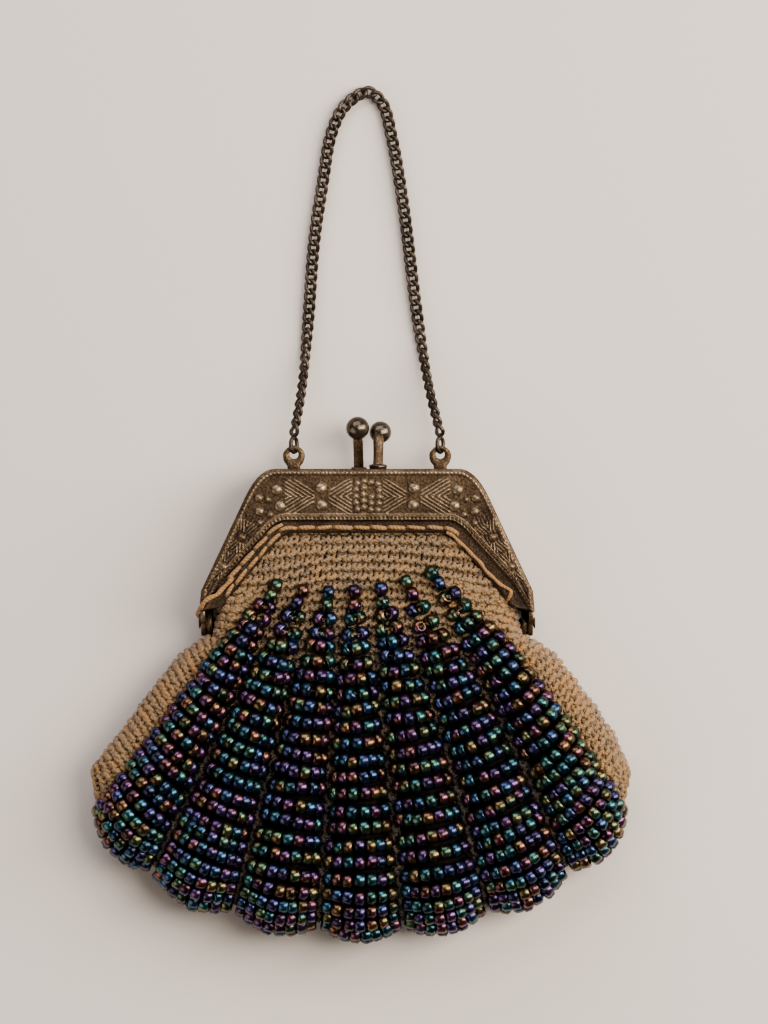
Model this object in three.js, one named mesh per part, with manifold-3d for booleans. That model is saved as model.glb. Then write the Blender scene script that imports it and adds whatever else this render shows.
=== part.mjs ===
// A small beaded purse: a knitted bag with seven bead swags on a hinged brass frame, lying on its back.
// Millimetres. X runs across the purse, Y from the hem up to the chain, Z up from the table.
// Shapes are drawn from the middle of the frame's top edge, and a drop is a distance down from that edge.

import * as THREE from 'three';
import { mergeVertices } from 'three/addons/utils/BufferGeometryUtils.js';
import Module from 'manifold-3d';

const wasm = await Module();
wasm.setup();

// Driving dimensions

const GAP = 0.3;
const WELD = 1e-4;

const FRAME = { depth: 5.55, sheet: 0.7, plate: 0.8, railStep: 0.4, bevel: 0.45, armDrop: 20.4 };

// Half outlines of a frame half: a straight top edge, a curved shoulder and a slanted arm.
const OUTLINES = {
  outer: {
    drop: 0, topHalf: 14.1, bendHalf: 16.9, slopeHalf: 19.2, slopeDrop: 5.2,
    endHalf: 25.6, endDrop: 19.6,
  },
  face: {
    drop: 7.8, topHalf: 12.4, bendHalf: 14.2, slopeHalf: 16.2, slopeDrop: 10.4,
    endHalf: 24.0, endDrop: 20.4,
  },
  window: {
    drop: 9.8, topHalf: 11.2, bendHalf: 12.7, slopeHalf: 14.6, slopeDrop: 12.1,
    endHalf: 22.0, endDrop: 20.7,
  },
};

const HINGE = { drop: 23.7, ear: 2.0, sheet: 0.7, outerHalf: 25.55, root: 1.6, joggle: 1.2, wallIn: 1.0 };
const RIVET = { bore: 0.85, pin: 0.55, head: 1.0, headThick: 0.4 };

const LUG = {
  half: 11.3, rise: 2.2, radius: 1.7, bore: 0.75, thick: 0.6, neckHalf: 1.0, root: 0.4, z: 4.5,
};

// Each ball of the clasp: where its post stands, where its centre is, and their sizes.
const CLASP = {
  front: { footX: 1.6, footZ: 8.2, ballX: 2.05, ballRise: 5.7, ballZ: 4.9, ball: 1.7, post: 0.78 },
  back: { footX: -1.25, footZ: 3.9, ballX: -1.45, ballRise: 6.3, ballZ: 6.6, ball: 1.8, post: 0.75 },
};
const COLLAR = { radius: 1.4, top: 0.75, root: 0.35 };
const BAR_POST = { thick: 0.9 };

// Raised ornament of the front half: bosses, and columns of granules in the middle of the top bar.
const BOSSES = [
  { half: 7.1, drop: 3.0, radius: 0.72 },
  { half: 7.1, drop: 5.4, radius: 0.72 },
  { half: 13.9, drop: 3.2, radius: 0.75 },
  { half: 13.4, drop: 5.7, radius: 0.75 },
  { half: 16.4, drop: 4.6, radius: 0.6 },
  { half: 16.4, drop: 6.4, radius: 0.65 },
  { half: 14.9, drop: 7.0, radius: 0.45 },
  { half: 19.2, drop: 10.5, radius: 0.6 },
  { half: 21.7, drop: 15.0, radius: 0.55 },
];
const GRANULE_COLUMNS = [
  { x: -1.8, drop: 2.3, count: 5 },
  { x: -0.75, drop: 2.0, count: 5 },
  { x: 0.45, drop: 4.3, count: 3 },
  { x: 1.6, drop: 2.2, count: 5 },
];
const GRANULE = { radius: 0.46, pitch: 0.97 };

// Half section of a boss, as shares of its radius and its rise. Its foot is sunk in the plate.
const BOSS_RISE = 0.45;
const BOSS_SECTION = [
  { radius: 0, rise: -0.4 },
  { radius: 1, rise: -0.4 },
  { radius: 0.98, rise: 0.18 },
  { radius: 0.68, rise: 0.75 },
  { radius: 0, rise: 1 },
];

const CHAIN = { radius: 0.8, rest: 0.82, steps: 64, fall: 15 };
const END_LINK = { wire: 0.5, length: 2.9, width: 2.1 };

// The chain's way over the table, from the left lug up and round to the right one.
const CHAIN_ROUTE = [
  { x: -10.2, rise: 11.8 },
  { x: -9.2, rise: 22.2 },
  { x: -8.2, rise: 35.4 },
  { x: -6.9, rise: 44.3 },
  { x: -5.5, rise: 52.2 },
  { x: -3.4, rise: 56.4 },
  { x: 0.1, rise: 58.5 },
  { x: 2.3, rise: 56.8 },
  { x: 3.8, rise: 51.5 },
  { x: 5.6, rise: 41.0 },
  { x: 7.6, rise: 25.0 },
  { x: 9.6, rise: 12.5 },
];

// How many sides the round pieces have.
const SIDES = {
  bend: 6, ear: 16, rivet: 12, eye: 16, bore: 12, post: 10, ball: 14, boss: 7, granule: 6, chain: 8,
};

const WALL = 1.4;

// Flutes are numbered from the middle, and a line down the bag by the flute that it runs along.
const FLUTES = {
  side: 3,
  edgeLine: 3.5,
  topPitch: 3.95,
  topShift: -1.9,
  topDrop: 18.7,
  topTilt: -0.33,
  topArch: -0.21,
  hemShift: -1.0,
  hemHalf: 41.2,
  hemMiddle: 45.4,
  hemReach: 24.2,
  hemAngle: 17.85,
  hemSpread: 0.35,
  bowRight: 0.5,
};
const LINE_STEP = 0.5;
const SWAG = {
  topHalf: 0.27, half: 0.46, fullAt: 0.3, bead: 2.1, bulge: 2.0, bulgeAt: 0.5,
  edge: 1.1, hemBulge: 1.1,
};

// Sections of the bag from the mouth to the hem's turn. A fan of 0 is the flutes' top, 1 the hem.
const BAG_SECTIONS = [
  { fan: -0.2, front: 10.1, back: 1.3, edgeHalf: 13.4, edgeDrop: 8.5, edgeFront: 9.9, edgeBack: 1.5 },
  { fan: 0.0, front: 10.15, back: 2.5, edgeHalf: 21.9, edgeDrop: 18.8, edgeFront: 9.5, edgeBack: 1.8 },
  { fan: 0.15, front: 10.15, back: 2.5, edgeHalf: 22.4, edgeDrop: 23.0, edgeFront: 8.6, edgeBack: 2.8 },
  { fan: 0.3, front: 10.15, back: 2.5, edgeHalf: 22.9, edgeDrop: 26.2, edgeFront: 7.9, edgeBack: 3.8 },
  { fan: 0.45, front: 10.15, back: 2.5, edgeHalf: 28.4, edgeDrop: 29.2, edgeFront: 7.4, edgeBack: 3.8 },
  { fan: 0.62, front: 10.15, back: 2.5, edgeHalf: 33.2, edgeDrop: 35.2, edgeFront: 7.0, edgeBack: 3.5 },
  { fan: 0.8, front: 10.15, back: 2.5, edgeHalf: 37.6, edgeDrop: 41.4, edgeFront: 6.7, edgeBack: 3.3 },
  { fan: 0.87, front: 10.15, back: 2.5, edgeHalf: 39.2, edgeDrop: 43.8, edgeFront: 6.5, edgeBack: 3.1 },
];
const CORNER = { half: 40.7, drop: 46.7 };
const MARGIN = { outerLine: 3.9, innerLine: 3.78 };
const MOUTH = { drop: 8.0, pitch: 3.45 };
const HEM_STEPS = 3;

// Where a swag's rounded top has its points, as shares of its half width.
const ROOF_ACROSS = [1, 0.6, 0, -0.6, -1];
// The front and back swags stop this turn, in radians, short of each other at the hem.
const HEM_GAP = 0.05;

const FRONT_Z = 2 * FRAME.depth + GAP;
const MID_Z = FRONT_Z / 2;

const BRASS = { color: 0x7a6448, roughness: 0.42, metalness: 0.9 };
const CHAIN_BRASS = { color: 0x6b5640, roughness: 0.45, metalness: 0.9 };
const COTTON = { color: 0xb08a5e, roughness: 0.95, metalness: 0.0 };
const IRIS_GLASS = { color: 0x23263a, roughness: 0.2, metalness: 0.6 };

// Solids and meshes

function solidOf(geometry) {
  const bare = geometry.clone();
  bare.deleteAttribute('normal');
  bare.deleteAttribute('uv');
  const merged = mergeVertices(bare, WELD);
  const vertProperties = new Float32Array(merged.attributes.position.array);
  const triVerts = new Uint32Array(merged.index.array);
  return new wasm.Manifold(new wasm.Mesh({ numProp: 3, vertProperties, triVerts }));
}

function geometryOf(solid) {
  const { vertProperties, triVerts } = solid.getMesh();
  const geometry = new THREE.BufferGeometry();
  geometry.setAttribute('position', new THREE.BufferAttribute(new Float32Array(vertProperties), 3));
  geometry.setIndex(new THREE.BufferAttribute(new Uint32Array(triVerts), 1));
  return geometry;
}

function piece(name, geometry, look) {
  const mesh = new THREE.Mesh(geometry, new THREE.MeshStandardMaterial(look));
  mesh.name = name;
  return mesh;
}

// A surface through rows of points, as triangles that face left of the way along a row and down the rows.
function gridTriangles(rows, flip) {
  const triangles = [];
  for (let i = 0; i + 1 < rows.length; i += 1) {
    for (let j = 0; j + 1 < rows[i].length; j += 1) {
      const [a, b, c, d] = [rows[i][j], rows[i][j + 1], rows[i + 1][j + 1], rows[i + 1][j]];
      triangles.push(...(flip ? [a, b, c, a, c, d] : [a, c, b, a, d, c]));
    }
  }
  return triangles;
}

function geometryFromTriangles(points) {
  const geometry = new THREE.BufferGeometry().setFromPoints(points);
  return mergeVertices(geometry, WELD);
}

function box(size, centre) {
  return new THREE.BoxGeometry(...size).translate(...centre);
}

// A closed solid of revolution about +Z, from a half section that starts and ends on the axis.
function turned(section, sides) {
  const points = section.map(({ radius, rise }) => new THREE.Vector2(radius, rise));
  return new THREE.LatheGeometry(points, sides).rotateX(Math.PI / 2);
}

// A round bar along X, Y or Z about its centre.
function bar(axis, radius, length, sides, centre) {
  const geometry = new THREE.CylinderGeometry(radius, radius, length, sides);
  if (axis === 'x') {
    geometry.rotateZ(Math.PI / 2);
  }
  if (axis === 'z') {
    geometry.rotateX(Math.PI / 2);
  }
  return geometry.translate(...centre);
}

function joined(solids) {
  return solids.reduce((whole, solid) => whole.add(solid));
}

// Frame halves

function followOutline(shape, outline, side) {
  shape.lineTo(side * outline.endHalf, -outline.endDrop);
  shape.lineTo(side * outline.slopeHalf, -outline.slopeDrop);
  shape.quadraticCurveTo(side * outline.bendHalf, -outline.drop, side * outline.topHalf, -outline.drop);
  shape.lineTo(-side * outline.topHalf, -outline.drop);
  const bend = [-side * outline.bendHalf, -outline.drop];
  shape.quadraticCurveTo(...bend, -side * outline.slopeHalf, -outline.slopeDrop);
  shape.lineTo(-side * outline.endHalf, -outline.endDrop);
}

function archShape() {
  const shape = new THREE.Shape();
  shape.moveTo(-OUTLINES.outer.endHalf, -FRAME.armDrop);
  followOutline(shape, OUTLINES.outer, -1);
  shape.lineTo(OUTLINES.outer.endHalf, -FRAME.armDrop);
  followOutline(shape, OUTLINES.window, 1);
  return shape;
}

// All that lies inside an outline, carried on past the ends of the arms.
function insideShape(outline, below) {
  const shape = new THREE.Shape();
  shape.moveTo(-outline.endHalf, -below);
  followOutline(shape, outline, -1);
  shape.lineTo(outline.endHalf, -below);
  return shape;
}

function insetOutline(outline, inset) {
  return {
    drop: outline.drop + inset,
    topHalf: outline.topHalf - inset / 2,
    bendHalf: outline.bendHalf - inset,
    slopeHalf: outline.slopeHalf - inset,
    slopeDrop: outline.slopeDrop + inset / 2,
    endHalf: outline.endHalf - inset,
    endDrop: outline.endDrop,
  };
}

function slab(shape, fromZ, toZ) {
  const settings = { depth: toZ - fromZ, bevelEnabled: false, curveSegments: SIDES.bend };
  return new THREE.ExtrudeGeometry(shape, settings).translate(0, 0, fromZ);
}

// One channel half standing on its open side: its bevelled plate is at the top, its rail a step lower.
function channelHalf() {
  const settings = {
    depth: FRAME.depth - FRAME.bevel,
    bevelThickness: FRAME.bevel,
    bevelSize: FRAME.bevel,
    bevelOffset: -FRAME.bevel,
    bevelSegments: 1,
    curveSegments: SIDES.bend,
  };
  const below = FRAME.armDrop + FRAME.depth;
  const span = 4 * OUTLINES.outer.endHalf;
  const pocketTop = FRAME.depth - FRAME.plate;
  const railTop = FRAME.depth - FRAME.railStep;
  const arch = solidOf(new THREE.ExtrudeGeometry(archShape(), settings));
  const underside = box([span, span, FRAME.depth], [0, 0, -FRAME.depth / 2]);
  const within = insetOutline(OUTLINES.outer, FRAME.sheet);
  const pocket = slab(insideShape(within, below), -FRAME.depth, pocketTop);
  const rail = slab(insideShape(OUTLINES.face, below), railTop, 2 * FRAME.depth);
  return [underside, pocket, rail].reduce((half, cut) => half.subtract(solidOf(cut)), arch);
}

// A round ear about the hinge's axis, its stem up the wall and its joggle across to the wall.
function hingeEar(side, outerHalf, wallZ) {
  const middle = side * (outerHalf - HINGE.sheet / 2);
  const disc = bar('x', HINGE.ear, HINGE.sheet, SIDES.ear, [middle, -HINGE.drop, MID_Z]);
  const rootDrop = FRAME.armDrop - HINGE.root;
  const length = HINGE.drop - rootDrop;
  const height = Math.abs(wallZ - MID_Z);
  const stemZ = (MID_Z + wallZ) / 2;
  const stem = box([HINGE.sheet, length, height], [middle, -rootDrop - length / 2, stemZ]);
  const reach = HINGE.outerHalf - outerHalf + HINGE.sheet;
  const place = [side * (HINGE.outerHalf - reach / 2), -rootDrop - HINGE.joggle / 2, stemZ];
  const joggle = box([reach, HINGE.joggle, height - 2 * GAP], place);
  return joined([disc, stem, joggle].map(solidOf));
}

function hingeBore(side) {
  const length = 4 * (HINGE.sheet + GAP);
  return solidOf(bar('x', RIVET.bore, length, SIDES.rivet, [side * HINGE.outerHalf, -HINGE.drop, MID_Z]));
}

function boss(x, drop, radius, sides) {
  const section = BOSS_SECTION.map((point) => {
    return { radius: point.radius * radius, rise: point.rise * BOSS_RISE };
  });
  return solidOf(turned(section, sides).translate(x, -drop, FRONT_Z));
}

function granules() {
  const places = GRANULE_COLUMNS.flatMap(({ x, drop, count }) => {
    return Array.from({ length: count }, (_, i) => ({ x, drop: drop + i * GRANULE.pitch }));
  });
  return places.map(({ x, drop }) => boss(x, drop, GRANULE.radius, SIDES.granule));
}

// A post standing along +Y from the origin, turned and moved to run from its foot to its ball.
function leaningPost(post, clasp) {
  const foot = new THREE.Vector3(clasp.footX, -FRAME.sheet / 2, clasp.footZ);
  const top = new THREE.Vector3(clasp.ballX, clasp.ballRise, clasp.ballZ);
  const way = top.clone().sub(foot);
  const length = way.length();
  const lean = new THREE.Quaternion().setFromUnitVectors(new THREE.Vector3(0, 1, 0), way.normalize());
  return post(length).translate(0, length / 2, 0).applyQuaternion(lean).translate(...foot.toArray());
}

function claspBall(clasp) {
  const ball = new THREE.SphereGeometry(clasp.ball, SIDES.ball, SIDES.ball / 2);
  return ball.translate(clasp.ballX, clasp.ballRise, clasp.ballZ);
}

// The front half's ball, on a round post with a collar at its foot.
function frontClasp() {
  const clasp = CLASP.front;
  const round = (length) => new THREE.CylinderGeometry(clasp.post, clasp.post, length, SIDES.post);
  const collarMiddle = (COLLAR.top - COLLAR.root) / 2;
  const place = [clasp.footX, collarMiddle, clasp.footZ];
  const collar = bar('y', COLLAR.radius, COLLAR.top + COLLAR.root, SIDES.post, place);
  return joined([leaningPost(round, clasp), claspBall(clasp), collar].map(solidOf));
}

// The back half's ball, on a flat bar.
function backClasp() {
  const clasp = CLASP.back;
  const flat = (length) => new THREE.BoxGeometry(2 * clasp.post, length, BAR_POST.thick);
  return joined([leaningPost(flat, clasp), claspBall(clasp)].map(solidOf));
}

function chainLug(side) {
  const centre = [side * LUG.half, LUG.rise, LUG.z];
  const neckLength = LUG.rise + LUG.root;
  const neckPlace = [side * LUG.half, LUG.rise - neckLength / 2, LUG.z];
  const eye = bar('z', LUG.radius, LUG.thick, SIDES.eye, centre);
  const neck = box([2 * LUG.neckHalf, neckLength, LUG.thick], neckPlace);
  const bore = bar('z', LUG.bore, 2 * LUG.thick, SIDES.bore, centre);
  return joined([eye, neck].map(solidOf)).subtract(solidOf(bore));
}

function frameFront() {
  const bosses = [-1, 1].flatMap((side) => {
    return BOSSES.map(({ half, drop, radius }) => boss(side * half, drop, radius, SIDES.boss));
  });
  const ears = [-1, 1].map((side) => hingeEar(side, HINGE.outerHalf, FRONT_Z - HINGE.wallIn));
  const half = channelHalf().translate([0, 0, FRAME.depth + GAP]);
  const whole = joined([half, ...ears, ...bosses, ...granules(), frontClasp()]);
  return [-1, 1].reduce((frame, side) => frame.subtract(hingeBore(side)), whole);
}

function frameBack() {
  const innerEar = HINGE.outerHalf - HINGE.sheet - GAP;
  const ears = [-1, 1].map((side) => hingeEar(side, innerEar, HINGE.wallIn));
  const half = channelHalf().rotate([0, 180, 0]).translate([0, 0, FRAME.depth]);
  const whole = joined([half, ...ears, chainLug(-1), chainLug(1), backClasp()]);
  return [-1, 1].reduce((frame, side) => frame.subtract(hingeBore(side)), whole);
}

// A pin with a flat head at each end, through both ears.
function hingeRivet(side) {
  const outer = HINGE.outerHalf + GAP / 2;
  const inner = HINGE.outerHalf - 2 * HINGE.sheet - 1.5 * GAP;
  const section = [
    { radius: 0, rise: inner - RIVET.headThick },
    { radius: RIVET.head, rise: inner - RIVET.headThick },
    { radius: RIVET.head, rise: inner },
    { radius: RIVET.pin, rise: inner },
    { radius: RIVET.pin, rise: outer },
    { radius: RIVET.head, rise: outer },
    { radius: RIVET.head, rise: outer + RIVET.headThick },
    { radius: 0, rise: outer + RIVET.headThick },
  ];
  return turned(section, SIDES.rivet).rotateY((side * Math.PI) / 2).translate(0, -HINGE.drop, MID_Z);
}

// Chain

// The end link's wire lies in the lug's hole, just clear of its upper edge.
const END_LINK_LOW = LUG.rise + LUG.bore - END_LINK.wire - GAP / 2;

// A ring of wire pulled out into an oval along Y, standing on edge through the lug's hole.
function endLink(side) {
  const ring = (END_LINK.width - END_LINK.wire) / 2;
  const stretch = (END_LINK.length - END_LINK.width) / 2;
  const geometry = new THREE.TorusGeometry(ring, END_LINK.wire / 2, SIDES.granule, SIDES.rivet);
  const places = geometry.attributes.position;
  for (let i = 0; i < places.count; i += 1) {
    const x = places.getX(i);
    const middle = Math.abs(x) < WELD;
    places.setX(i, middle ? x : x + Math.sign(x) * stretch);
  }
  const rise = END_LINK_LOW + END_LINK.length / 2;
  return geometry.rotateX(Math.PI / 2).rotateZ(Math.PI / 2).translate(side * LUG.half, rise, LUG.z);
}

// The run of fine links between the end links, as a round bar of their width laid along their way.
function chainRun() {
  const low = END_LINK_LOW + END_LINK.length + GAP;
  const ends = [-1, 1].map((side) => new THREE.Vector3(side * LUG.half, low, 0));
  const turns = CHAIN_ROUTE.map(({ x, rise }) => new THREE.Vector3(x, rise, 0));
  const plan = new THREE.CatmullRomCurve3([ends[0], ...turns, ends[1]], false, 'centripetal');
  const points = plan.getSpacedPoints(CHAIN.steps).map(({ x, y }) => {
    const lift = 1 - THREE.MathUtils.smoothstep(y, low, low + CHAIN.fall);
    return new THREE.Vector3(x, y, THREE.MathUtils.lerp(CHAIN.rest, LUG.z, lift));
  });
  const section = new THREE.Shape().absarc(0, 0, CHAIN.radius, 0, 2 * Math.PI);
  const extrudePath = new THREE.CatmullRomCurve3(points);
  const curveSegments = SIDES.chain / 2;
  const settings = { steps: CHAIN.steps, extrudePath, curveSegments, bevelEnabled: false };
  return geometryOf(solidOf(new THREE.ExtrudeGeometry(section, settings)));
}

// Bag and flutes

function fluteTop(line) {
  return {
    x: FLUTES.topShift + FLUTES.topPitch * line,
    drop: FLUTES.topDrop + FLUTES.topTilt * line + FLUTES.topArch * line * line,
  };
}

function fluteHem(line) {
  const angle = THREE.MathUtils.degToRad(FLUTES.hemAngle * line + FLUTES.hemSpread * line ** 3);
  return {
    x: FLUTES.hemShift + FLUTES.hemHalf * Math.sin(angle),
    drop: FLUTES.hemMiddle + FLUTES.hemReach * Math.cos(angle),
  };
}

// A point of a line down the bag, as seen from above. Above the flutes the lines go on up to the mouth.
function linePlace(line, fan) {
  const top = fluteTop(line);
  const hem = fluteHem(line);
  if (fan < 0) {
    const up = fan / BAG_SECTIONS[0].fan;
    const x = THREE.MathUtils.lerp(top.x, MOUTH.pitch * line, up);
    return new THREE.Vector2(x, -THREE.MathUtils.lerp(top.drop, MOUTH.drop, up));
  }
  const bow = Math.max(line, 0) * FLUTES.bowRight * Math.sin(Math.PI * fan);
  return new THREE.Vector2(
    THREE.MathUtils.lerp(top.x, hem.x, fan) + bow,
    -THREE.MathUtils.lerp(top.drop, hem.drop, fan),
  );
}

// The sections from the mouth to the hem's turn, then round the turn to its outermost line.
function bagStations() {
  const stations = BAG_SECTIONS.map((section) => ({ ...section, turn: 0 }));
  const last = BAG_SECTIONS[BAG_SECTIONS.length - 1];
  for (let i = 1; i <= HEM_STEPS; i += 1) {
    const turn = (Math.PI / 2) * (i / HEM_STEPS);
    const out = Math.sin(turn);
    stations.push({
      ...last,
      turn,
      fan: THREE.MathUtils.lerp(last.fan, 1, out),
      edgeHalf: THREE.MathUtils.lerp(last.edgeHalf, CORNER.half, out),
      edgeDrop: THREE.MathUtils.lerp(last.edgeDrop, CORNER.drop, out),
    });
  }
  return stations;
}

const STATIONS = bagStations();

// A point of the bag's outer face, moved out along the face's own normal by the offset.
function bagPoint(line, station, face, offset) {
  const inner = THREE.MathUtils.clamp(line, -FLUTES.edgeLine, FLUTES.edgeLine);
  const margin = (Math.abs(line) - Math.abs(inner)) / (MARGIN.outerLine - FLUTES.edgeLine);
  const last = BAG_SECTIONS[BAG_SECTIONS.length - 1];
  const place = linePlace(inner, station.fan);
  const outward = linePlace(inner, 1).sub(linePlace(inner, last.fan));
  const reach = outward.length();
  const shift = FLUTES.hemShift * Math.max(station.fan, 0);
  const edge = new THREE.Vector2(Math.sign(line) * station.edgeHalf + shift, -station.edgeDrop);
  place.lerp(edge, margin);
  const front = THREE.MathUtils.lerp(station.front, station.edgeFront, margin);
  const back = THREE.MathUtils.lerp(station.back, station.edgeBack, margin);
  const depth = (front - back) / 2;
  const height = (front + back) / 2 + face * depth * Math.cos(station.turn);
  const slope = new THREE.Vector2(depth * Math.sin(station.turn), reach * Math.cos(station.turn));
  slope.normalize();
  place.addScaledVector(outward.normalize(), offset * slope.x);
  return new THREE.Vector3(place.x, place.y, height + face * offset * slope.y);
}

function bagLines(edge) {
  const lines = [-edge];
  for (let line = -FLUTES.edgeLine; line <= FLUTES.edgeLine; line += LINE_STEP) {
    lines.push(line);
  }
  return [...lines, edge];
}

// One face of the bag's wall as closed loops of points, from the mouth down to the hem's outermost line.
function bagLoops(edge, offset) {
  const lines = bagLines(edge);
  return STATIONS.map((station) => {
    const front = lines.map((line) => bagPoint(line, station, 1, offset));
    const back = lines.map((line) => bagPoint(line, station, -1, offset)).reverse();
    return [...front, ...back, front[0]];
  });
}

function knitBag() {
  const outside = bagLoops(MARGIN.outerLine, 0);
  const inside = bagLoops(MARGIN.innerLine, -WALL);
  const triangles = [
    ...gridTriangles(outside, false),
    ...gridTriangles(inside, true),
    ...gridTriangles([inside[0], outside[0]], false),
  ];
  return geometryOf(solidOf(geometryFromTriangles(triangles)));
}

function smoothRise(value, full) {
  return THREE.MathUtils.smoothstep(value, 0, full);
}

// One section of a swag: its flat underside just clear of the bag, its rounded top a bead and a bulge high.
function swagSection(flute, station, face) {
  const half = SWAG.topHalf + (SWAG.half - SWAG.topHalf) * smoothRise(station.fan, SWAG.fullAt);
  const swell = THREE.MathUtils.lerp(SWAG.bulge, SWAG.hemBulge, Math.sin(station.turn));
  const crest = SWAG.bead + swell * smoothRise(station.fan, SWAG.bulgeAt);
  const at = (across, rise) => {
    const point = bagPoint(flute + across * half, station, face, GAP + rise);
    point.z = Math.max(point.z, 0);
    return point;
  };
  const roof = ROOF_ACROSS.map((across) => {
    return at(across, SWAG.edge + (crest - SWAG.edge) * (1 - across * across));
  });
  return [at(-1, 0), at(0, 0), at(1, 0), ...roof];
}

function swag(flute, face) {
  const stations = STATIONS.filter((station) => station.fan >= 0);
  const lastTurn = Math.PI / 2 - HEM_GAP;
  const rings = stations.map((station) => {
    return swagSection(flute, { ...station, turn: Math.min(station.turn, lastTurn) }, face);
  });
  const flip = face > 0;
  const walls = gridTriangles(rings.map((ring) => [...ring, ring[0]]), flip);
  const caps = [];
  for (const [ring, reverse] of [[rings[0], flip], [rings[rings.length - 1], !flip]]) {
    for (let i = 1; i + 1 < ring.length; i += 1) {
      caps.push(...(reverse ? [ring[0], ring[i + 1], ring[i]] : [ring[0], ring[i], ring[i + 1]]));
    }
  }
  return geometryFromTriangles([...walls, ...caps]);
}

// The purse

const purse = new THREE.Group();
purse.add(piece('frame_front', geometryOf(frameFront()), BRASS));
purse.add(piece('frame_back', geometryOf(frameBack()), BRASS));
purse.add(piece('hinge_rivet_left', hingeRivet(-1), BRASS));
purse.add(piece('hinge_rivet_right', hingeRivet(1), BRASS));
purse.add(piece('chain', chainRun(), CHAIN_BRASS));
purse.add(piece('chain_end_link_left', endLink(-1), CHAIN_BRASS));
purse.add(piece('chain_end_link_right', endLink(1), CHAIN_BRASS));
purse.add(piece('knit_bag', knitBag(), COTTON));
for (let flute = -FLUTES.side; flute <= FLUTES.side; flute += 1) {
  const number = flute + FLUTES.side + 1;
  purse.add(piece(`bead_flute_front_${number}`, swag(flute, 1), IRIS_GLASS));
  purse.add(piece(`bead_flute_back_${number}`, swag(flute, -1), IRIS_GLASS));
}

// The origin is on the table, under the middle of the whole purse.
const extent = new THREE.Box3().setFromObject(purse);
const middle = extent.getCenter(new THREE.Vector3());
purse.position.set(-middle.x, -middle.y, -extent.min.z);

export default purse;
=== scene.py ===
"""A small beaded purse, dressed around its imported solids.

A knitted bag with seven bead swags on each face is sewn into a hinged brass frame, and lies on its back.
Shapes are drawn in millimetres from the middle of the frame's top edge: x to the right, y up to the chain
and z up from the table. A drop is a distance down from that edge, so y is minus the drop.
"""

import logging
import math
from dataclasses import dataclass, field, replace
from enum import Enum
from typing import Any

import bmesh
import bpy
import numpy as np
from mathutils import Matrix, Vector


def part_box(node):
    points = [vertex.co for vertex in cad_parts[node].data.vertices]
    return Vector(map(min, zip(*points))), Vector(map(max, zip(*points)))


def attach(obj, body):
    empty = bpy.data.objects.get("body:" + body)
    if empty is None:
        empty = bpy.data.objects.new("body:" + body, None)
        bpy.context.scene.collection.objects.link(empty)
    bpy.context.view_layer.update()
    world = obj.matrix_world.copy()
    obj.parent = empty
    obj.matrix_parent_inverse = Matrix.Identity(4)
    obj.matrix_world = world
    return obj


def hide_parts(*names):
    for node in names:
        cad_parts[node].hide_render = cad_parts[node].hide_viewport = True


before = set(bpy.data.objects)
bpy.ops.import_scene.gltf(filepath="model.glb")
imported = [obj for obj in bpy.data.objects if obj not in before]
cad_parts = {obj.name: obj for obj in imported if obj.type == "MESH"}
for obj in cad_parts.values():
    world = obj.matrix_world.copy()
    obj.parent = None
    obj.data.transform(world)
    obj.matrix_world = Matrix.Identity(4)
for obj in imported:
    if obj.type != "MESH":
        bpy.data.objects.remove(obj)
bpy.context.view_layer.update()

Array = np.ndarray
Faces = list[Array]
Material = bpy.types.Material
Tree = bpy.types.NodeTree
Rng = np.random.Generator
Spot = tuple[float, float, float]
Stops = tuple[tuple[float, str], ...]
LOG = logging.getLogger("purse")

# Lengths are in millimetres, and MM is one millimetre in metres.
MM = 0.001
BODY = "root"
SEED = 20
GAP = 0.3
FRONT_Z = 11.4
MID_Z = FRONT_Z / 2
HINGE_DROP = 23.7
LUG_HALF = 11.3
LUG_Z = 4.5
ARM_WAY = (0.43, 0.903)
TURN = 2.0 * math.pi
UP = np.array([0.0, 0.0, 1.0])
UPWARD = np.array([0.0, 1.0, 0.0])
SLANT = UP + 0.3 * UPWARD
SIDES = (-1, 1)


class Slot(Enum):
    """The record's material slots."""

    BRASS = "antique_brass"
    CHAIN = "chain_brass"
    COTTON = "cotton_knit"
    GLASS = "iris_glass"


class Face(Enum):
    """The two faces of the purse as it lies: the front looks up."""

    FRONT = 1
    BACK = -1


# Arrays and surfaces


def unit(vectors: Array) -> Array:
    """Gives vectors of length one along the given ones."""
    return vectors / np.linalg.norm(vectors, axis=-1, keepdims=True)


def mix(start: Any, end: Any, share: Any) -> Any:
    """Goes from start to end by a share."""
    return start + (end - start) * share


def smooth(value: Any, low: float, high: float) -> Any:
    """Rises from 0 at low to 1 at high along the curve 3s^2 - 2s^3."""
    share = np.clip((value - low) / (high - low), 0.0, 1.0)
    return share * share * (3.0 - 2.0 * share)


def hump(value: Any) -> Any:
    """A smooth hump of height 1 over -1 to 1: the square of 1 - value^2."""
    return np.clip(1.0 - value * value, 0.0, 1.0) ** 2


def lengths_along(path: Array) -> Array:
    """Gives the length of a path up to each of its points.

    Args:
        path: Points in order, one a row.

    Returns:
        Lengths that start at 0.
    """
    steps = np.linalg.norm(np.diff(path, axis=0), axis=1)
    return np.concatenate([[0.0], np.cumsum(steps)])


def along_path(path: Array, lengths: Array, values: Array) -> Array:
    """Reads values that belong to a path's points at other lengths along it.

    Args:
        path: Points in order, one a row.
        lengths: Where to read, as lengths from the path's start.
        values: One row for each point of the path.

    Returns:
        One row for each length.
    """
    known = lengths_along(path)
    return np.stack([np.interp(lengths, known, column) for column in values.T], axis=1)


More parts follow.
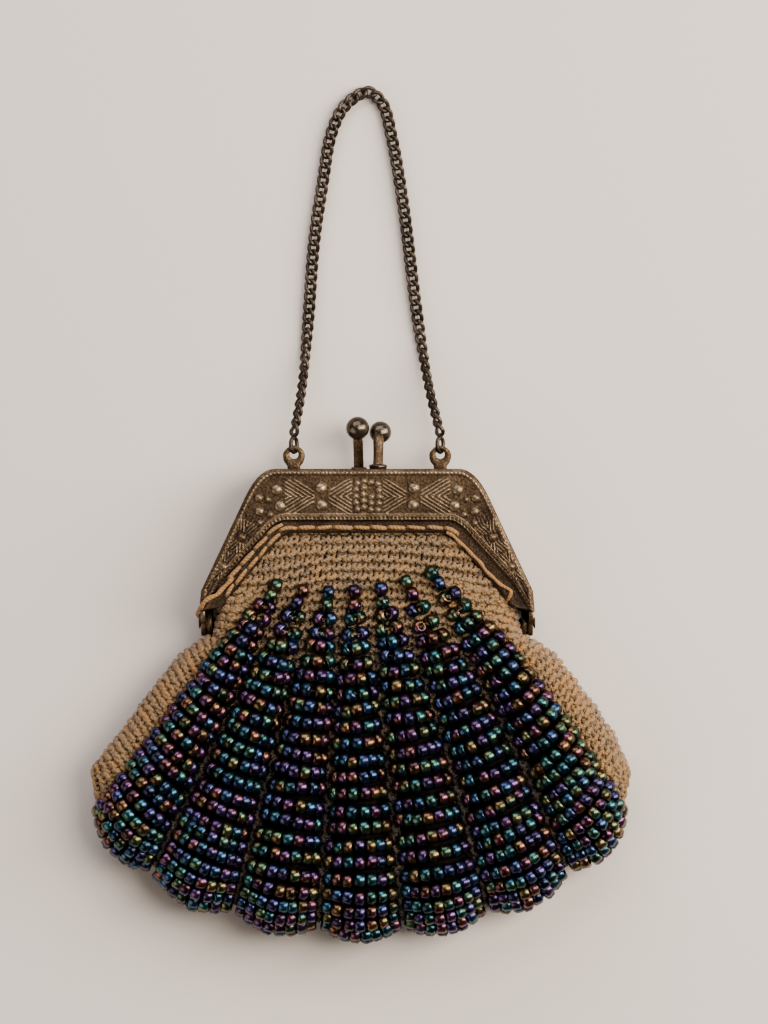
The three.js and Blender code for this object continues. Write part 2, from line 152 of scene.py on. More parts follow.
def sleeve(rings: Array, loop: bool = False) -> tuple[Array, Faces]:
    """Joins rings of points into a closed surface.

    Args:
        rings: Points as rings, places on a ring, and x, y, z.
        loop: Whether the last ring joins the first. If not, both ends are capped.

    Returns:
        The points in one list, and arrays of faces that name them.
    """
    rows, sides = rings.shape[:2]
    start = np.arange(rows if loop else rows - 1)[:, None] * sides
    following = (start + sides) % (rows * sides)
    side = np.arange(sides)[None, :]
    beside = (side + 1) % sides
    corners = [start + side, start + beside, following + beside, following + side]
    faces = [np.stack(corners, axis=-1).reshape(-1, 4)]
    if not loop:
        faces.append(np.arange(sides)[None, ::-1])
        faces.append((rows - 1) * sides + np.arange(sides)[None, :])
    return rings.reshape(-1, 3), faces


def enclosed(points: Array, faces: Faces) -> float:
    """Adds up the signed volume under each face, which is positive if the faces point outwards.

    Args:
        points: Points of a closed surface.
        faces: Arrays of faces that name them.

    Returns:
        The volume.
    """
    centred = points - points.mean(axis=0)
    total = 0.0
    for ring in faces:
        first = centred[ring[:, 0]]
        for corner in range(1, ring.shape[1] - 1):
            side = np.cross(centred[ring[:, corner]], centred[ring[:, corner + 1]])
            total += float(np.sum(first * side))
    return total / 6.0


def tube(path: Array, radius: Any, sides: int, lift: Array) -> Array:
    """Carries a circle along a path.

    Each circle stands square to the path, and its first spoke points away from lift.

    Args:
        path: Points in order, one a row.
        radius: The circle's radius, one number or one for each point.
        sides: How many points the circle has.
        lift: A direction that is never along the path, one or one for each point.

    Returns:
        Rings of points.
    """
    along = unit(np.gradient(path, axis=0))
    across = unit(np.cross(along, lift))
    over = np.cross(across, along)
    angle = np.linspace(-0.5 * np.pi, 1.5 * np.pi, sides, endpoint=False)[:, None]
    spokes = np.cos(angle) * across[:, None, :] + np.sin(angle) * over[:, None, :]
    return path[:, None, :] + np.asarray(radius).reshape(-1, 1, 1) * spokes


def curve_through(turns: Array, steps: int) -> Array:
    """Draws a centripetal Catmull-Rom curve through points.

    Each span is the usual pyramid of linear mixes between four points, with knots spaced by the square root
    of the distances. Beyond each end stands the mirror image of the second point.

    Args:
        turns: The points, one a row.
        steps: How many points each span gets.

    Returns:
        Points along the curve, one a row.
    """
    turns = np.concatenate([[2.0 * turns[0] - turns[1]], turns, [2.0 * turns[-1] - turns[-2]]])
    knots = np.concatenate([[0.0], np.cumsum(np.linalg.norm(np.diff(turns, axis=0), axis=1) ** 0.5)])
    spans = []
    for first in range(len(turns) - 3):
        knot = knots[first : first + 4]
        at = np.linspace(knot[1], knot[2], steps, endpoint=False)[:, None]
        level = list(turns[first : first + 4])
        for start, end in ((0, 1), (0, 2), (1, 2)):
            level = [
                mix(low, high, (at - knot[step + start]) / (knot[step + end] - knot[step + start]))
                for step, (low, high) in enumerate(zip(level, level[1:]))
            ]
        spans.append(level[0])
    return np.concatenate([*spans, turns[-2][None]])


def turned(profile: Array, centre: Array, axis: Array, sides: int) -> Array:
    """Turns a profile round an axis.

    Args:
        profile: Rows of radius and distance along the axis.
        centre: The point that the distances are measured from.
        axis: The axis as a unit vector.
        sides: How many points a ring has.

    Returns:
        One ring for each row of the profile.
    """
    beside = UPWARD if abs(axis[2]) > abs(axis[1]) else UP
    first = unit(np.cross(axis, beside))
    second = np.cross(axis, first)
    angle = np.linspace(0.0, TURN, sides, endpoint=False)[:, None]
    spokes = np.cos(angle) * first + np.sin(angle) * second
    return centre + profile[:, 1, None, None] * axis + profile[:, 0, None, None] * spokes


def ball_profile(radius: float, steps: int, pole: float = 0.05) -> Array:
    """A half circle from pole to pole as rows of radius and height, with a tiny flat at each pole."""
    angle = np.linspace(pole, np.pi - pole, steps)
    return np.stack([radius * np.sin(angle), -radius * np.cos(angle)], axis=1)


def plate(outline: Array, low: float, high: float, edge: float, axes: tuple[int, int, int]) -> Array:
    """Carries a flat outline through a thickness, with its edges eased.

    Args:
        outline: Rows of two coordinates.
        low: Where the thickness starts.
        high: Where it ends.
        edge: How far the edges are eased.
        axes: Which of x, y and z the outline's two coordinates and the thickness are.

    Returns:
        Four rings of points.
    """
    middle = outline.mean(axis=0)
    spread = np.abs(outline - middle).max(axis=0)
    eased = middle + (outline - middle) * (1.0 - edge / spread)
    rings = np.zeros((4, len(outline), 3))
    for ring, (shape, height) in enumerate(
        [(eased, low), (outline, low + edge), (outline, high - edge), (eased, high)]
    ):
        rings[ring][:, axes[0]] = shape[:, 0]
        rings[ring][:, axes[1]] = shape[:, 1]
        rings[ring][:, axes[2]] = height
    return rings


def drawing_origin() -> Array:
    """Finds the middle of the frame's top edge in the row's frame from the two hinge rivets.

    Returns:
        The place in millimetres, on the table.
    """
    corners = [np.array(corner) for side in ("left", "right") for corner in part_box(f"hinge_rivet_{side}")]
    middle = np.mean(corners, axis=0) / MM
    return np.array([middle[0], middle[1] + HINGE_DROP, 0.0])


ORIGIN = drawing_origin()


@dataclass
class Shape:
    """Closed surfaces gathered into one piece, with a tone at each point that its finish reads."""

    points: list[Array] = field(default_factory=list)
    faces: list[tuple[Array, int]] = field(default_factory=list)
    tones: list[Array] = field(default_factory=list)
    plies: list[Array] = field(default_factory=list)
    count: int = 0

    def add(self, surface: tuple[Array, Faces], tone: Any, finish: int = 0, ply: Any = 0.0) -> None:
        """Adds a closed surface, turned so that its faces point outwards.

        Args:
            surface: Points and arrays of faces.
            tone: One number, or one for each point.
            finish: Which of the piece's finishes it takes.
            ply: How many plies have passed, one number or one for each point.
        """
        points, faces = surface
        outward = enclosed(points, faces) > 0.0
        for ring in faces:
            self.faces.append(((ring if outward else ring[:, ::-1]) + self.count, finish))
        self.points.append(points)
        self.tones.append(np.broadcast_to(np.asarray(tone, float), len(points)))
        self.plies.append(np.broadcast_to(np.asarray(ply, float), len(points)))
        self.count += len(points)

    def add_strand(self, rings: Array, tone: Any, pitch: float) -> None:
        """Adds a twisted strand: its two plies pass once in a pitch along it, and once each round it.

        Args:
            rings: Rings of points along the strand.
            tone: One number, or one for each ring and place.
            pitch: The length of strand from one ply to the next.
        """
        rows, sides = rings.shape[:2]
        ply = (lengths_along(rings.mean(axis=1)) / pitch)[:, None] + 2.0 * np.arange(sides) / sides
        self.add(sleeve(rings), np.broadcast_to(tone, (rows, sides)).ravel(), ply=ply.ravel())

    def add_copies(self, rings: Array, tones: Array) -> None:
        """Adds many copies of a ring-shaped surface.

        Args:
            rings: Points as copies, rings, places on a ring, and x, y, z.
            tones: One tone for each copy, or for each copy and place on its rings.
        """
        copies, rows, sides = rings.shape[:3]
        _, (quads,) = sleeve(rings[0], loop=True)
        faces = (quads[None] + rows * sides * np.arange(copies)[:, None, None]).reshape(-1, 4)
        spread = np.broadcast_to(tones.reshape(copies, 1, -1), (copies, rows, sides))
        self.add((rings.reshape(-1, 3), [faces]), spread.ravel())

    def piece(self, name: str, finishes: list[Material], slot: Slot, *nodes: str) -> bpy.types.Object:
        """Makes the mesh and its object, which rides on the purse's body.

        Args:
            name: The piece's name.
            finishes: Its materials.
            slot: The record's slot for this piece. Not used.
            nodes: The solids that it stands for.

        Returns:
            The object.
        """
        points = (np.concatenate(self.points) + ORIGIN) * MM
        widths = np.concatenate([np.full(len(ring), ring.shape[1]) for ring, _ in self.faces])
        corners = np.concatenate([ring.ravel() for ring, _ in self.faces])
        finish = np.concatenate([np.full(len(ring), index) for ring, index in self.faces])
        mesh = bpy.data.meshes.new(name)
        mesh.vertices.add(len(points))
        mesh.vertices.foreach_set("co", points.astype(np.float32).ravel())
        mesh.loops.add(len(corners))
        mesh.loops.foreach_set("vertex_index", corners.astype(np.int32))
        mesh.polygons.add(len(widths))
        mesh.polygons.foreach_set("loop_start", (np.cumsum(widths) - widths).astype(np.int32))
        mesh.polygons.foreach_set("material_index", finish.astype(np.int32))
        mesh.update(calc_edges=True)
        for attribute, values in (("tone", self.tones), ("ply", self.plies)):
            data = mesh.attributes.new(attribute, "FLOAT", "POINT").data
            data.foreach_set("value", np.concatenate(values).astype(np.float32))
        mesh.shade_smooth()
        for material in finishes:
            mesh.materials.append(material)
        made = bpy.data.objects.new(name, mesh)
        bpy.context.scene.collection.objects.link(made)
        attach(made, BODY)
        if nodes:
            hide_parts(*nodes)
        LOG.info("%s: %d points, %d triangles", name, len(points), int(np.sum(widths - 2)))
        return made


def weld(made: bpy.types.Object, reach: float) -> None:
    """Joins points of a piece that lie close together.

    Args:
        made: The piece.
        reach: How close, in metres.
    """
    work = bmesh.new()
    work.from_mesh(made.data)
    bmesh.ops.remove_doubles(work, verts=work.verts, dist=reach)
    work.to_mesh(made.data)
    work.free()


# Finishes


def linear(colour: str) -> tuple[float, float, float, float]:
    """Turns an sRGB colour into a linear one.

    Args:
        colour: The colour as hex.

    Returns:
        Red, green and blue, and an alpha of 1.
    """
    values = [int(colour[place : place + 2], 16) / 255.0 for place in (1, 3, 5)]
    curve = [v / 12.92 if v <= 0.04045 else ((v + 0.055) / 1.055) ** 2.4 for v in values]
    return (curve[0], curve[1], curve[2], 1.0)


def per_metre(millimetres: float) -> float:
    """The scale of a noise, on coordinates in metres, whose patches have that size."""
    return 1.0 / (millimetres * MM)


def add_node(
    tree: Tree,
    kind: str,
    inputs: dict[Any, Any] | None = None,
    stops: Stops = (),
    out: Any = 0,
    **settings: Any,
) -> bpy.types.NodeSocket | None:
    """Adds a node with its settings, and links or sets its inputs.

    Args:
        tree: The node tree.
        kind: The node's type, without the words that all of them start with.
        inputs: Sockets to link from, or values, by the input's name or number.
        stops: Places and colours of a colour ramp.
        out: The output that is wanted, by name or number.
        settings: The node's own settings.

    Returns:
        That output, if the node has any.
    """
    node = tree.nodes.new(f"ShaderNode{kind}")
    for name, value in settings.items():
        setattr(node, name, value)
    if stops:
        elements = node.color_ramp.elements
        while len(elements) < len(stops):
            elements.new(1.0)
        for element, (place, colour) in zip(elements, stops):
            element.position = place
            element.color = linear(colour)
    for name, value in (inputs or {}).items():
        if isinstance(value, bpy.types.NodeSocket):
            tree.links.new(value, node.inputs[name])
        else:
            node.inputs[name].default_value = value
    return node.outputs[out] if node.outputs else None


def new_material(name: str) -> tuple[Material, Tree]:
    """Makes a material with an empty tree.

    Args:
        name: The material's name.

    Returns:
        The material and its tree.
    """
    material = bpy.data.materials.new(name)
    material.use_nodes = True
    material.node_tree.nodes.clear()
    return material, material.node_tree


def end_tree(tree: Tree, inputs: dict[str, Any]) -> None:
    """Ends a material's tree in one principled shader with these inputs."""
    shader = add_node(tree, "BsdfPrincipled", inputs)
    add_node(tree, "OutputMaterial", {"Surface": shader})


def toned(tree: Tree, *noises: tuple[float, float, float]) -> tuple[Any, list[Any]]:
    """Reads a piece's tone and adds noises to it.

    Args:
        tree: The node tree.
        noises: Each noise's patch size in millimetres, its detail and its share in the sum.

    Returns:
        The sum, and each noise by itself.
    """
    place = add_node(tree, "TexCoord", out="Object")
    total = add_node(tree, "Attribute", out="Fac", attribute_name="tone")
    found = []
    for size, detail, share in noises:
        inputs = {"Vector": place, "Scale": per_metre(size), "Detail": detail}
        found.append(add_node(tree, "TexNoise", inputs, out="Fac"))
        total = add_node(tree, "Math", {0: found[-1], 1: share, 2: total}, operation="MULTIPLY_ADD")
    return total, found


@dataclass(frozen=True)
class TarnishedBrass:
    """Stamped brass sheet, browned with age."""

    # Tarnish stays in hollows and hands wear high points, so stamped lines read dark between pale tops.
    name: str = "brass_stamped_tarnished"
    stops: Stops = (
        (0.0, "#0c0805"), (0.24, "#291d14"), (0.44, "#52402d"),
        (0.64, "#7f6e59"), (0.84, "#b3a592"), (1.0, "#ded5c8"),
    )
    patch: float = 2.6
    grit: float = 0.28
    patch_share: float = 0.36
    grit_share: float = 0.6
    pit: float = 0.1
    pit_strength: float = 0.5
    rough_low: float = 0.62
    rough_high: float = 0.18
    metallic: float = 0.7

    def material(self) -> Material:
        """Makes the material: a tone of height, with patches and grit of tarnish over it.

        Returns:
            The material.
        """
        material, tree = new_material(self.name)
        patch, grit = (self.patch, 4.0, self.patch_share), (self.grit, 3.0, self.grit_share)
        total, (_, pits) = toned(tree, patch, grit)
        mean = (self.patch_share + self.grit_share) / 2.0
        level = add_node(tree, "Math", {0: total, 1: mean}, operation="SUBTRACT")
        rough = {"Value": level, "To Min": self.rough_low, "To Max": self.rough_high}
        relief = {"Height": pits, "Strength": self.pit_strength, "Distance": self.pit * MM}
        end_tree(tree, {
            "Base Color": add_node(tree, "ValToRGB", {"Fac": level}, self.stops),
            "Roughness": add_node(tree, "MapRange", rough),
            "Normal": add_node(tree, "Bump", relief),
            "Metallic": self.metallic,
        })
        return material


# Drawn wire and handled balls are greyer and smoother than the sheet, so they glint along their curves.
CHAIN_STOPS = (
    (0.0, "#0c0a08"), (0.24, "#2a231d"), (0.44, "#4a4037"),
    (0.64, "#6e6357"), (0.84, "#a19788"), (1.0, "#d0c8bc"),
)


@dataclass(frozen=True)
class CottonYarn:
    """Spun cotton of two twisted plies, browner in one tone and more orange in another."""

    # Short fibres scatter the light, so the yarn looks matt and mottled, with fine grooves of its twist.
    name: str = "cotton_yarn_spun"
    # The darkest stops give painted shade, for the wall, the valleys, the yoke's lower courses and the cloth
    # under the beads.
    stops: Stops = (
        (0.0, "#080605"), (0.2, "#33241a"), (0.5, "#7f694d"), (0.75, "#966a3a"), (1.0, "#a8713a"),
    )
    patch: float = 4.5
    fibre: float = 0.3
    patch_share: float = 0.22
    fibre_share: float = 0.3
    ply_shade_share: float = 0.09
    groove: float = 0.12
    groove_share: float = 0.5
    groove_strength: float = 0.6
    rough: float = 0.6
    specular: float = 0.45
    sheen: float = 0.3
    sheen_rough: float = 0.4

    def material(self) -> Material:
        """Makes the material: a tone with patches of dye and mottled fibres, and the grooves of the twist as
        bumps and as painted shade along the plies.

        Returns:
            The material.
        """
        material, tree = new_material(self.name)
        patch, fibre = (self.patch, 2.0, self.patch_share), (self.fibre, 4.0, self.fibre_share)
        total, (_, fibres) = toned(tree, patch, fibre)
        ply = add_node(tree, "Attribute", out="Fac", attribute_name="ply")
        angle = add_node(tree, "Math", {0: ply, 1: TURN}, operation="MULTIPLY")
        twist = add_node(tree, "Math", {0: angle}, operation="SINE")
        # The twist lightens and darkens the tone along the plies: painted shade in the grooves between them.
        twist_shaded = add_node(tree, "Math", {0: twist, 1: self.ply_shade_share, 2: total}, operation="MULTIPLY_ADD")
        mean = (self.patch_share + self.fibre_share) / 2.0
        level = add_node(tree, "Math", {0: twist_shaded, 1: mean}, operation="SUBTRACT")
        height = add_node(tree, "Math", {0: twist, 1: self.groove_share, 2: fibres}, operation="MULTIPLY_ADD")
        relief = {"Height": height, "Strength": self.groove_strength, "Distance": self.groove * MM}
        end_tree(tree, {
            "Base Color": add_node(tree, "ValToRGB", {"Fac": level}, self.stops),
            "Normal": add_node(tree, "Bump", relief),
            "Roughness": self.rough,
            "Specular IOR Level": self.specular,
            "Sheen Weight": self.sheen,
            "Sheen Roughness": self.sheen_rough,
        })
        return material


@dataclass(frozen=True)
class IrisGlass:
    """Opaque dark glass beads with a fired coat of metal oxides."""

    # The coat mirrors light in oily blue, violet, bronze and green, and in places dark glass shows.
    name: str = "glass_bead_iris_coated"
    stops: Stops = (
        (0.0, "#39686a"), (0.14, "#375474"), (0.29, "#43446d"), (0.43, "#5c416b"), (0.55, "#704558"),
        (0.66, "#78513c"), (0.76, "#7d6b46"), (0.87, "#556d50"), (1.0, "#39686a"),
    )
    cloud: float = 1.3
    cloud_share: float = 0.3
    thin: float = 1.1
    thin_range: tuple[float, float] = (0.36, 0.64)
    levels: tuple[float, float] = (0.2, 0.86)
    roughs: tuple[float, float] = (0.2, 0.42)
    metallic: float = 0.95
    coat: float = 0.35
    coat_rough: float = 0.05

    def material(self) -> Material:
        """Makes the material: each bead's sheen, clouded into the next on the colour scale, uneven and thin.

        Returns:
            The material.
        """
        material, tree = new_material(self.name)
        total, (cloud,) = toned(tree, (self.cloud, 2.0, self.cloud_share))
        around = add_node(tree, "Math", {0: total, 1: 1.0}, operation="FLOORED_MODULO")
        colour = add_node(tree, "ValToRGB", {"Fac": around}, self.stops)
        place = add_node(tree, "TexCoord", out="Object")
        noise = {"Vector": place, "Scale": per_metre(self.thin), "Detail": 1.0}
        low, high = self.thin_range
        spread = {"Value": add_node(tree, "TexNoise", noise, out="Fac"), "From Min": low, "From Max": high}
        level = add_node(tree, "MapRange", {**spread, "To Min": self.levels[0], "To Max": self.levels[1]})
        rough = {"Value": cloud, "To Min": self.roughs[0], "To Max": self.roughs[1]}
        end_tree(tree, {
            "Base Color": add_node(tree, "HueSaturation", {"Color": colour, "Value": level}),
            "Roughness": add_node(tree, "MapRange", rough),
            "Metallic": self.metallic,
            "Coat Weight": self.coat,
            "Coat Roughness": self.coat_rough,
        })
        return material


# Frame


@dataclass(frozen=True)
class Outline:
    """A line over a frame half: along the top, round each shoulder, down each arm, and steeper at its tip."""

    drop: float
    top_half: float
    bend_half: float
    slope_half: float
    slope_drop: float
    end_half: float
    end_drop: float
    tip_half: float
    tip_drop: float
    top_share: float = 0.36
    bend_share: float = 0.55
    end_share: float = 0.9

    def inset(self, by: float) -> "Outline":
        """The same line, moved in by a distance."""
        return replace(
            self,
            drop=self.drop + by,
            top_half=self.top_half - by / 2.0,
            bend_half=self.bend_half - by,
            slope_half=self.slope_half - by,
            slope_drop=self.slope_drop + by / 2.0,
            end_half=self.end_half - by,
            tip_half=self.tip_half - by,
        )

    def trace(self, share: Array) -> Array:
        """Places on the line: straight, then a quadratic curve round the shoulder, then two straight lengths.

        Args:
            share: From -1 at the left arm's end, over 0 in the middle, to 1 at the right arm's end.

        Returns:
            Rows of x and y.
        """
        way = np.abs(share)
        bend = np.clip((way - self.top_share) / (self.bend_share - self.top_share), 0.0, 1.0)
        slope = np.clip((way - self.bend_share) / (self.end_share - self.bend_share), 0.0, 1.0)
        tip = np.clip((way - self.end_share) / (1.0 - self.end_share), 0.0, 1.0)
        top = np.clip(way / self.top_share, 0.0, 1.0)
        x = top * self.top_half * (1.0 - bend) ** 2 + 2.0 * bend * (1.0 - bend) * self.bend_half
        x += bend**2 * self.slope_half + slope * (self.end_half - self.slope_half)
        x += tip * (self.tip_half - self.end_half)
        drop = self.drop + bend**2 * (self.slope_drop - self.drop)
        drop += slope * (self.end_drop - self.slope_drop) + tip * (self.tip_drop - self.end_drop)
        return np.stack([np.sign(share) * x, -drop], axis=1)


OUTER_LINE = Outline(0.0, 14.1, 16.8, 19.0, 5.0, 25.45, 18.7, 25.75, 21.9)
FACE_LINE = Outline(7.8, 12.4, 14.2, 16.2, 10.4, 22.6, 17.4, 25.2, 21.7)
WINDOW_LINE = Outline(9.8, 11.2, 12.7, 14.6, 12.1, 20.3, 18.8, 22.2, 21.1)


@dataclass(frozen=True)
class BowTie:
    """Fine stamped lines that spread to both sides of a point along the frame, as on a bow tie."""

    half: float
    drop: float
    along: tuple[float, float]
    reach: float
    height: float
    slope: float
    gap: float = 0.5
    pitch: float = 0.6
    lines: float = 5.5
    rise: float = 0.15
    sharpness: float = 1.3
    fade: float = 0.4
    brim: float = 0.3

    def relief(self, half: Array, drop: Array) -> Array:
        """Raises lines where |b| - slope a is constant.

        Here a runs along the frame from each side of a gap, and b across it. The lines fade at both ends.

        Args:
            half: Distances from the frame's middle line.
            drop: Drops.

        Returns:
            Heights.
        """
        right, down = half - self.half, drop - self.drop
        along = np.abs(right * self.along[0] + down * self.along[1]) - self.gap
        across = np.abs(right * self.along[1] - down * self.along[0])
        level = across - self.slope * along
        wave = (0.5 + 0.5 * np.cos(TURN * level / self.pitch)) ** self.sharpness
        ends = smooth(along, 0.0, self.fade) * (1.0 - smooth(along, self.reach - self.fade, self.reach))
        lowest = -self.lines * self.pitch
        band = (1.0 - smooth(level, 0.9, 1.1)) * smooth(level, lowest, 0.2 + lowest)
        inside = 1.0 - smooth(across, self.height - self.brim, self.height)
        return self.rise * wave * ends * band * inside


@dataclass(frozen=True)
class Ornament:
    """The raised ornament of the front half: bosses, an oval of granules and bow ties of fine lines."""

    bosses: tuple[Spot, ...] = (
        (7.1, 2.95, 0.8), (7.0, 5.55, 0.8), (13.9, 3.2, 0.8), (13.4, 5.7, 0.82), (16.6, 4.5, 0.64),
        (16.5, 6.5, 0.68), (15.2, 4.7, 0.42), (14.9, 7.0, 0.5), (16.5, 8.3, 0.5), (19.2, 10.5, 0.62),
        (22.1, 15.0, 0.58),
    )
    granule_columns: tuple[tuple[float, float, int], ...] = (
        (-1.75, 2.2, 5), (-0.6, 1.9, 5), (0.65, 2.1, 1), (0.65, 4.3, 3), (1.85, 2.3, 5),
    )
    granule: float = 0.5
    granule_pitch: float = 1.0
    oval: float = 0.035
    oval_drop: float = 4.2
    rise: float = 0.45
    bow_ties: tuple[BowTie, ...] = (
        BowTie(7.05, 4.25, (1.0, 0.0), 4.9, 2.8, 0.62, gap=0.9),
        BowTie(19.2, 10.5, ARM_WAY, 2.2, 1.75, 0.42, gap=0.6, pitch=0.5),
        BowTie(22.1, 15.0, ARM_WAY, 2.2, 1.35, 0.36, gap=0.5, pitch=0.45),
    )
    tie_from: tuple[float, float] = (2.2, 2.6)
    arm_drops: tuple[float, float] = (6.6, 8.1)
    arm_halves: tuple[float, float] = (15.5, 16.5)
    arm_pitch: float = 0.5
    arm_rise: float = 0.05

    def domes(self, across: Array, drop: Array, x: float, at: float, radius: float) -> Array:
        """A dome of height rise (1 - d^2)^0.6, where d is the distance from its middle over its radius."""
        distance = ((across - x) ** 2 + (drop - at) ** 2) / radius**2
        return self.rise * np.clip(1.0 - distance, 0.0, 1.0) ** 0.6

    def relief(self, x: Array, drop: Array) -> Array:
        """Heights of the ornament over the plate.

        Args:
            x: Places across the frame.
            drop: Drops.

        Returns:
            Heights: the highest of all domes, bow ties and lines along the arms at each place.
        """
        half = np.abs(x)
        aslant = half * ARM_WAY[1] - drop * ARM_WAY[0]
        on_arm = smooth(drop, *self.arm_drops) * smooth(half, *self.arm_halves)
        height = self.arm_rise * (0.5 + 0.5 * np.cos(TURN * aslant / self.arm_pitch)) * on_arm
        for tie in self.bow_ties:
            height = np.maximum(height, tie.relief(half, drop) * smooth(half, *self.tie_from))
        for boss_half, at, radius in self.bosses:
            height = np.maximum(height, self.domes(half, drop, boss_half, at, radius))
        for column, first, count in self.granule_columns:
            for row in range(count):
                at = first + row * self.granule_pitch
                place = column * (1.0 - self.oval * (at - self.oval_drop) ** 2)
                height = np.maximum(height, self.domes(x, drop, place, at, self.granule))
        return height


@dataclass(frozen=True)
class Clasp:
    """One ball of the clasp and its post."""

    foot: tuple[float, float, float]
    ball: tuple[float, float, float]
    radius: float
    post: float


@dataclass(frozen=True)
class FrameHalf:
    """One half of the hinged frame: a stamped channel with its ears, and the ball and lugs soldered to it."""

    face: Face
    steps: int
    face_columns: int
    clasp: Clasp
    ear_half: float
    ear_wall: float
    depth: float = 5.55
    plate: float = 0.8
    rail_step: float = 0.4
    easing: float = 0.4
    sheet: float = 0.7
    ear: float = 2.0
    ear_root: float = 20.6
    field_step: float = 0.09
    mill_pitch: float = 0.62
    grain: float = 0.012
    wall_tone: float = 0.5
    eased_tone: float = 0.42
    # Painted shade: the rail's tone darkens its recessed channel, and the hidden tone darkens the plate's
    # underside and the pocket.
    rail_shade_tone: float = 0.3
    hidden_shade_tone: float = 0.15
    face_tone: float = 0.52
    # Painted shade darkens the face towards the arms' ends.
    arm_shade: float = 0.11
    shade_halves: tuple[float, float] = (17.0, 21.0)
    lug_rise: float = 1.95
    lug_radius: float = 1.7
    lug_bore: float = 0.7
    lug_foot: float = 1.0
    lug_thick: float = 0.6

    def stand(self, height: Array) -> Array:
        """Turns a height over the half's open side into z: the front half looks up and the back one down."""
        return FRONT_Z - self.depth + height if self.face is Face.FRONT else self.depth - height

    def strip(self, start: Array, end: Array, shares: Array, heights: Array) -> Array:
        """A band of points between two lines over the frame.

        Args:
            start: The first line's x and y.
            end: The second line's x and y.
            shares: How far each column is from the first line to the second.
            heights: Each column's height, or one height for each point.

        Returns:
            Points as places along the line, columns, and x, y, z.
        """
        flat = start[:, None, :] + (end - start)[:, None, :] * shares[None, :, None]
        height = np.broadcast_to(self.stand(heights), flat.shape[:2])
        return np.concatenate([flat, height[:, :, None]], axis=2)

    def stamped_face(self, start: Array, end: Array) -> Array:
        """Heights of the stamped plate: a milled rim, a lower field, a ridge with ticks, and the ornament.

        Args:
            start: The plate's outer line.
            end: Its inner line.

        Returns:
            One height for each place along the line and each column.
        """
        shares = np.linspace(0.0, 1.0, self.face_columns)
        places = start[:, None, :] + (end - start)[:, None, :] * shares[None, :, None]
        width = np.linalg.norm(end - start, axis=1)[:, None]
        outer, inner = shares[None, :] * width, (1.0 - shares[None, :]) * width
        outer_run, inner_run = lengths_along(start)[:, None], lengths_along(end)[:, None]
        x, drop = places[:, :, 0], -places[:, :, 1]
        outer_teeth = 0.6 + 0.4 * np.cos(TURN * outer_run / self.mill_pitch)
        inner_teeth = 0.5 + 0.5 * np.cos(TURN * inner_run / self.mill_pitch)
        rims = 0.07 * hump((outer - 0.2) / 0.26) * outer_teeth
        rims = rims - 0.12 * hump((inner - 0.24) / 0.26) * inner_teeth + 0.03 * hump((inner - 0.85) / 0.16)
        recess = smooth(outer, 0.4, 0.65) * smooth(inner, 0.9, 1.05)
        grain = np.sin(5.1 * x + 2.0 * np.sin(3.3 * drop)) * np.sin(4.3 * drop + 1.7 * np.sin(2.9 * x))
        ornament = Ornament().relief(x, drop) * smooth(outer, 0.2, 0.5) * smooth(inner, 0.6, 1.0)
        return rims - self.field_step * recess + self.grain * grain * recess + ornament

    def channel(self) -> tuple[Array, Array]:
        """Carries the channel's section along the arch: from the wall's foot over plate and rail, and back.

        Returns:
            Rings of points, and a tone for each point.
        """
        share = np.linspace(-1.0, 1.0, self.steps)
        outer, eased = OUTER_LINE.trace(share), OUTER_LINE.inset(self.easing).trace(share)
        inner, window = FACE_LINE.trace(share), WINDOW_LINE.trace(share)
        pocket = OUTER_LINE.inset(self.sheet).trace(share)
        angle = np.linspace(0.0, np.pi / 2.0, 6)
        rail, under = self.depth - self.rail_step, self.depth - self.plate
        relief = np.zeros((self.steps, self.face_columns))
        if self.face is Face.FRONT:
            relief = self.stamped_face(eased, inner)
        shares = np.linspace(0.0, 1.0, self.face_columns)
        # The face's tone: darker towards the arms' ends as painted shade, paler on raised lines where hands
        # wear them (less so on the domes), and darker in the hollows with tarnish.
        worn = self.face_tone - self.arm_shade * smooth(np.abs(outer[:, :1]), *self.shade_halves)
        worn = worn + np.clip(2.2 * relief, -0.15, 0.15) - 0.1 * smooth(relief, 0.15, 0.35)
        wall = np.linspace(0.0, self.depth - self.easing - 0.2, 4)
        rounding = self.depth - self.easing * (1.0 - np.sin(angle))
        step = np.array([self.depth - 0.06, rail + 0.05])
        rail_shares = np.linspace(0.03, 1.0, 6)
        hollow = rail - 0.05 * hump(rail_shares * 2.0 - 1.0)
        # The rail's bands carry painted shade for its recess, and the pocket's bands carry painted shade
        # under the plate.
        bands = [
            (self.strip(outer, outer, np.zeros(4), wall), self.wall_tone),
            (self.strip(outer, eased, 1.0 - np.cos(angle), rounding), self.eased_tone),
            (self.strip(eased, inner, shares, self.depth + relief), worn),
            (self.strip(inner, window, np.array([0.01, 0.02]), step), self.rail_shade_tone),
            (self.strip(inner, window, rail_shares, hollow), self.rail_shade_tone),
            (self.strip(window, window, np.zeros(2), np.array([rail - 0.07, under + 0.07])), self.rail_shade_tone),
            (self.strip(window, pocket, np.linspace(0.02, 1.0, 3), np.full(3, under)), self.hidden_shade_tone),
            (self.strip(pocket, pocket, np.zeros(3), np.linspace(under - 0.1, 0.0, 3)), self.hidden_shade_tone),
        ]
        rings = np.concatenate([band for band, _ in bands], axis=1)
        tones = np.concatenate([np.broadcast_to(tone, band.shape[:2]) for band, tone in bands], axis=1)
        return rings, tones

    def ear_outline(self) -> Array:
        """The ear as seen from the side: a round end about the hinge's axis and a stem up to the wall.

        Returns:
            Rows of y and z.
        """
        way = 1.0 if self.ear_wall > MID_Z else -1.0
        angle = np.linspace(np.pi, 2.5 * np.pi, 25)
        round_end = np.stack([np.cos(angle), way * np.sin(angle)], axis=1) * self.ear
        round_end += [HINGE_DROP, MID_Z]
        stem = [[HINGE_DROP, self.ear_wall], [self.ear_root, self.ear_wall], [self.ear_root, MID_Z]]
        outline = np.concatenate([round_end, stem])
        return outline * [-1.0, 1.0]

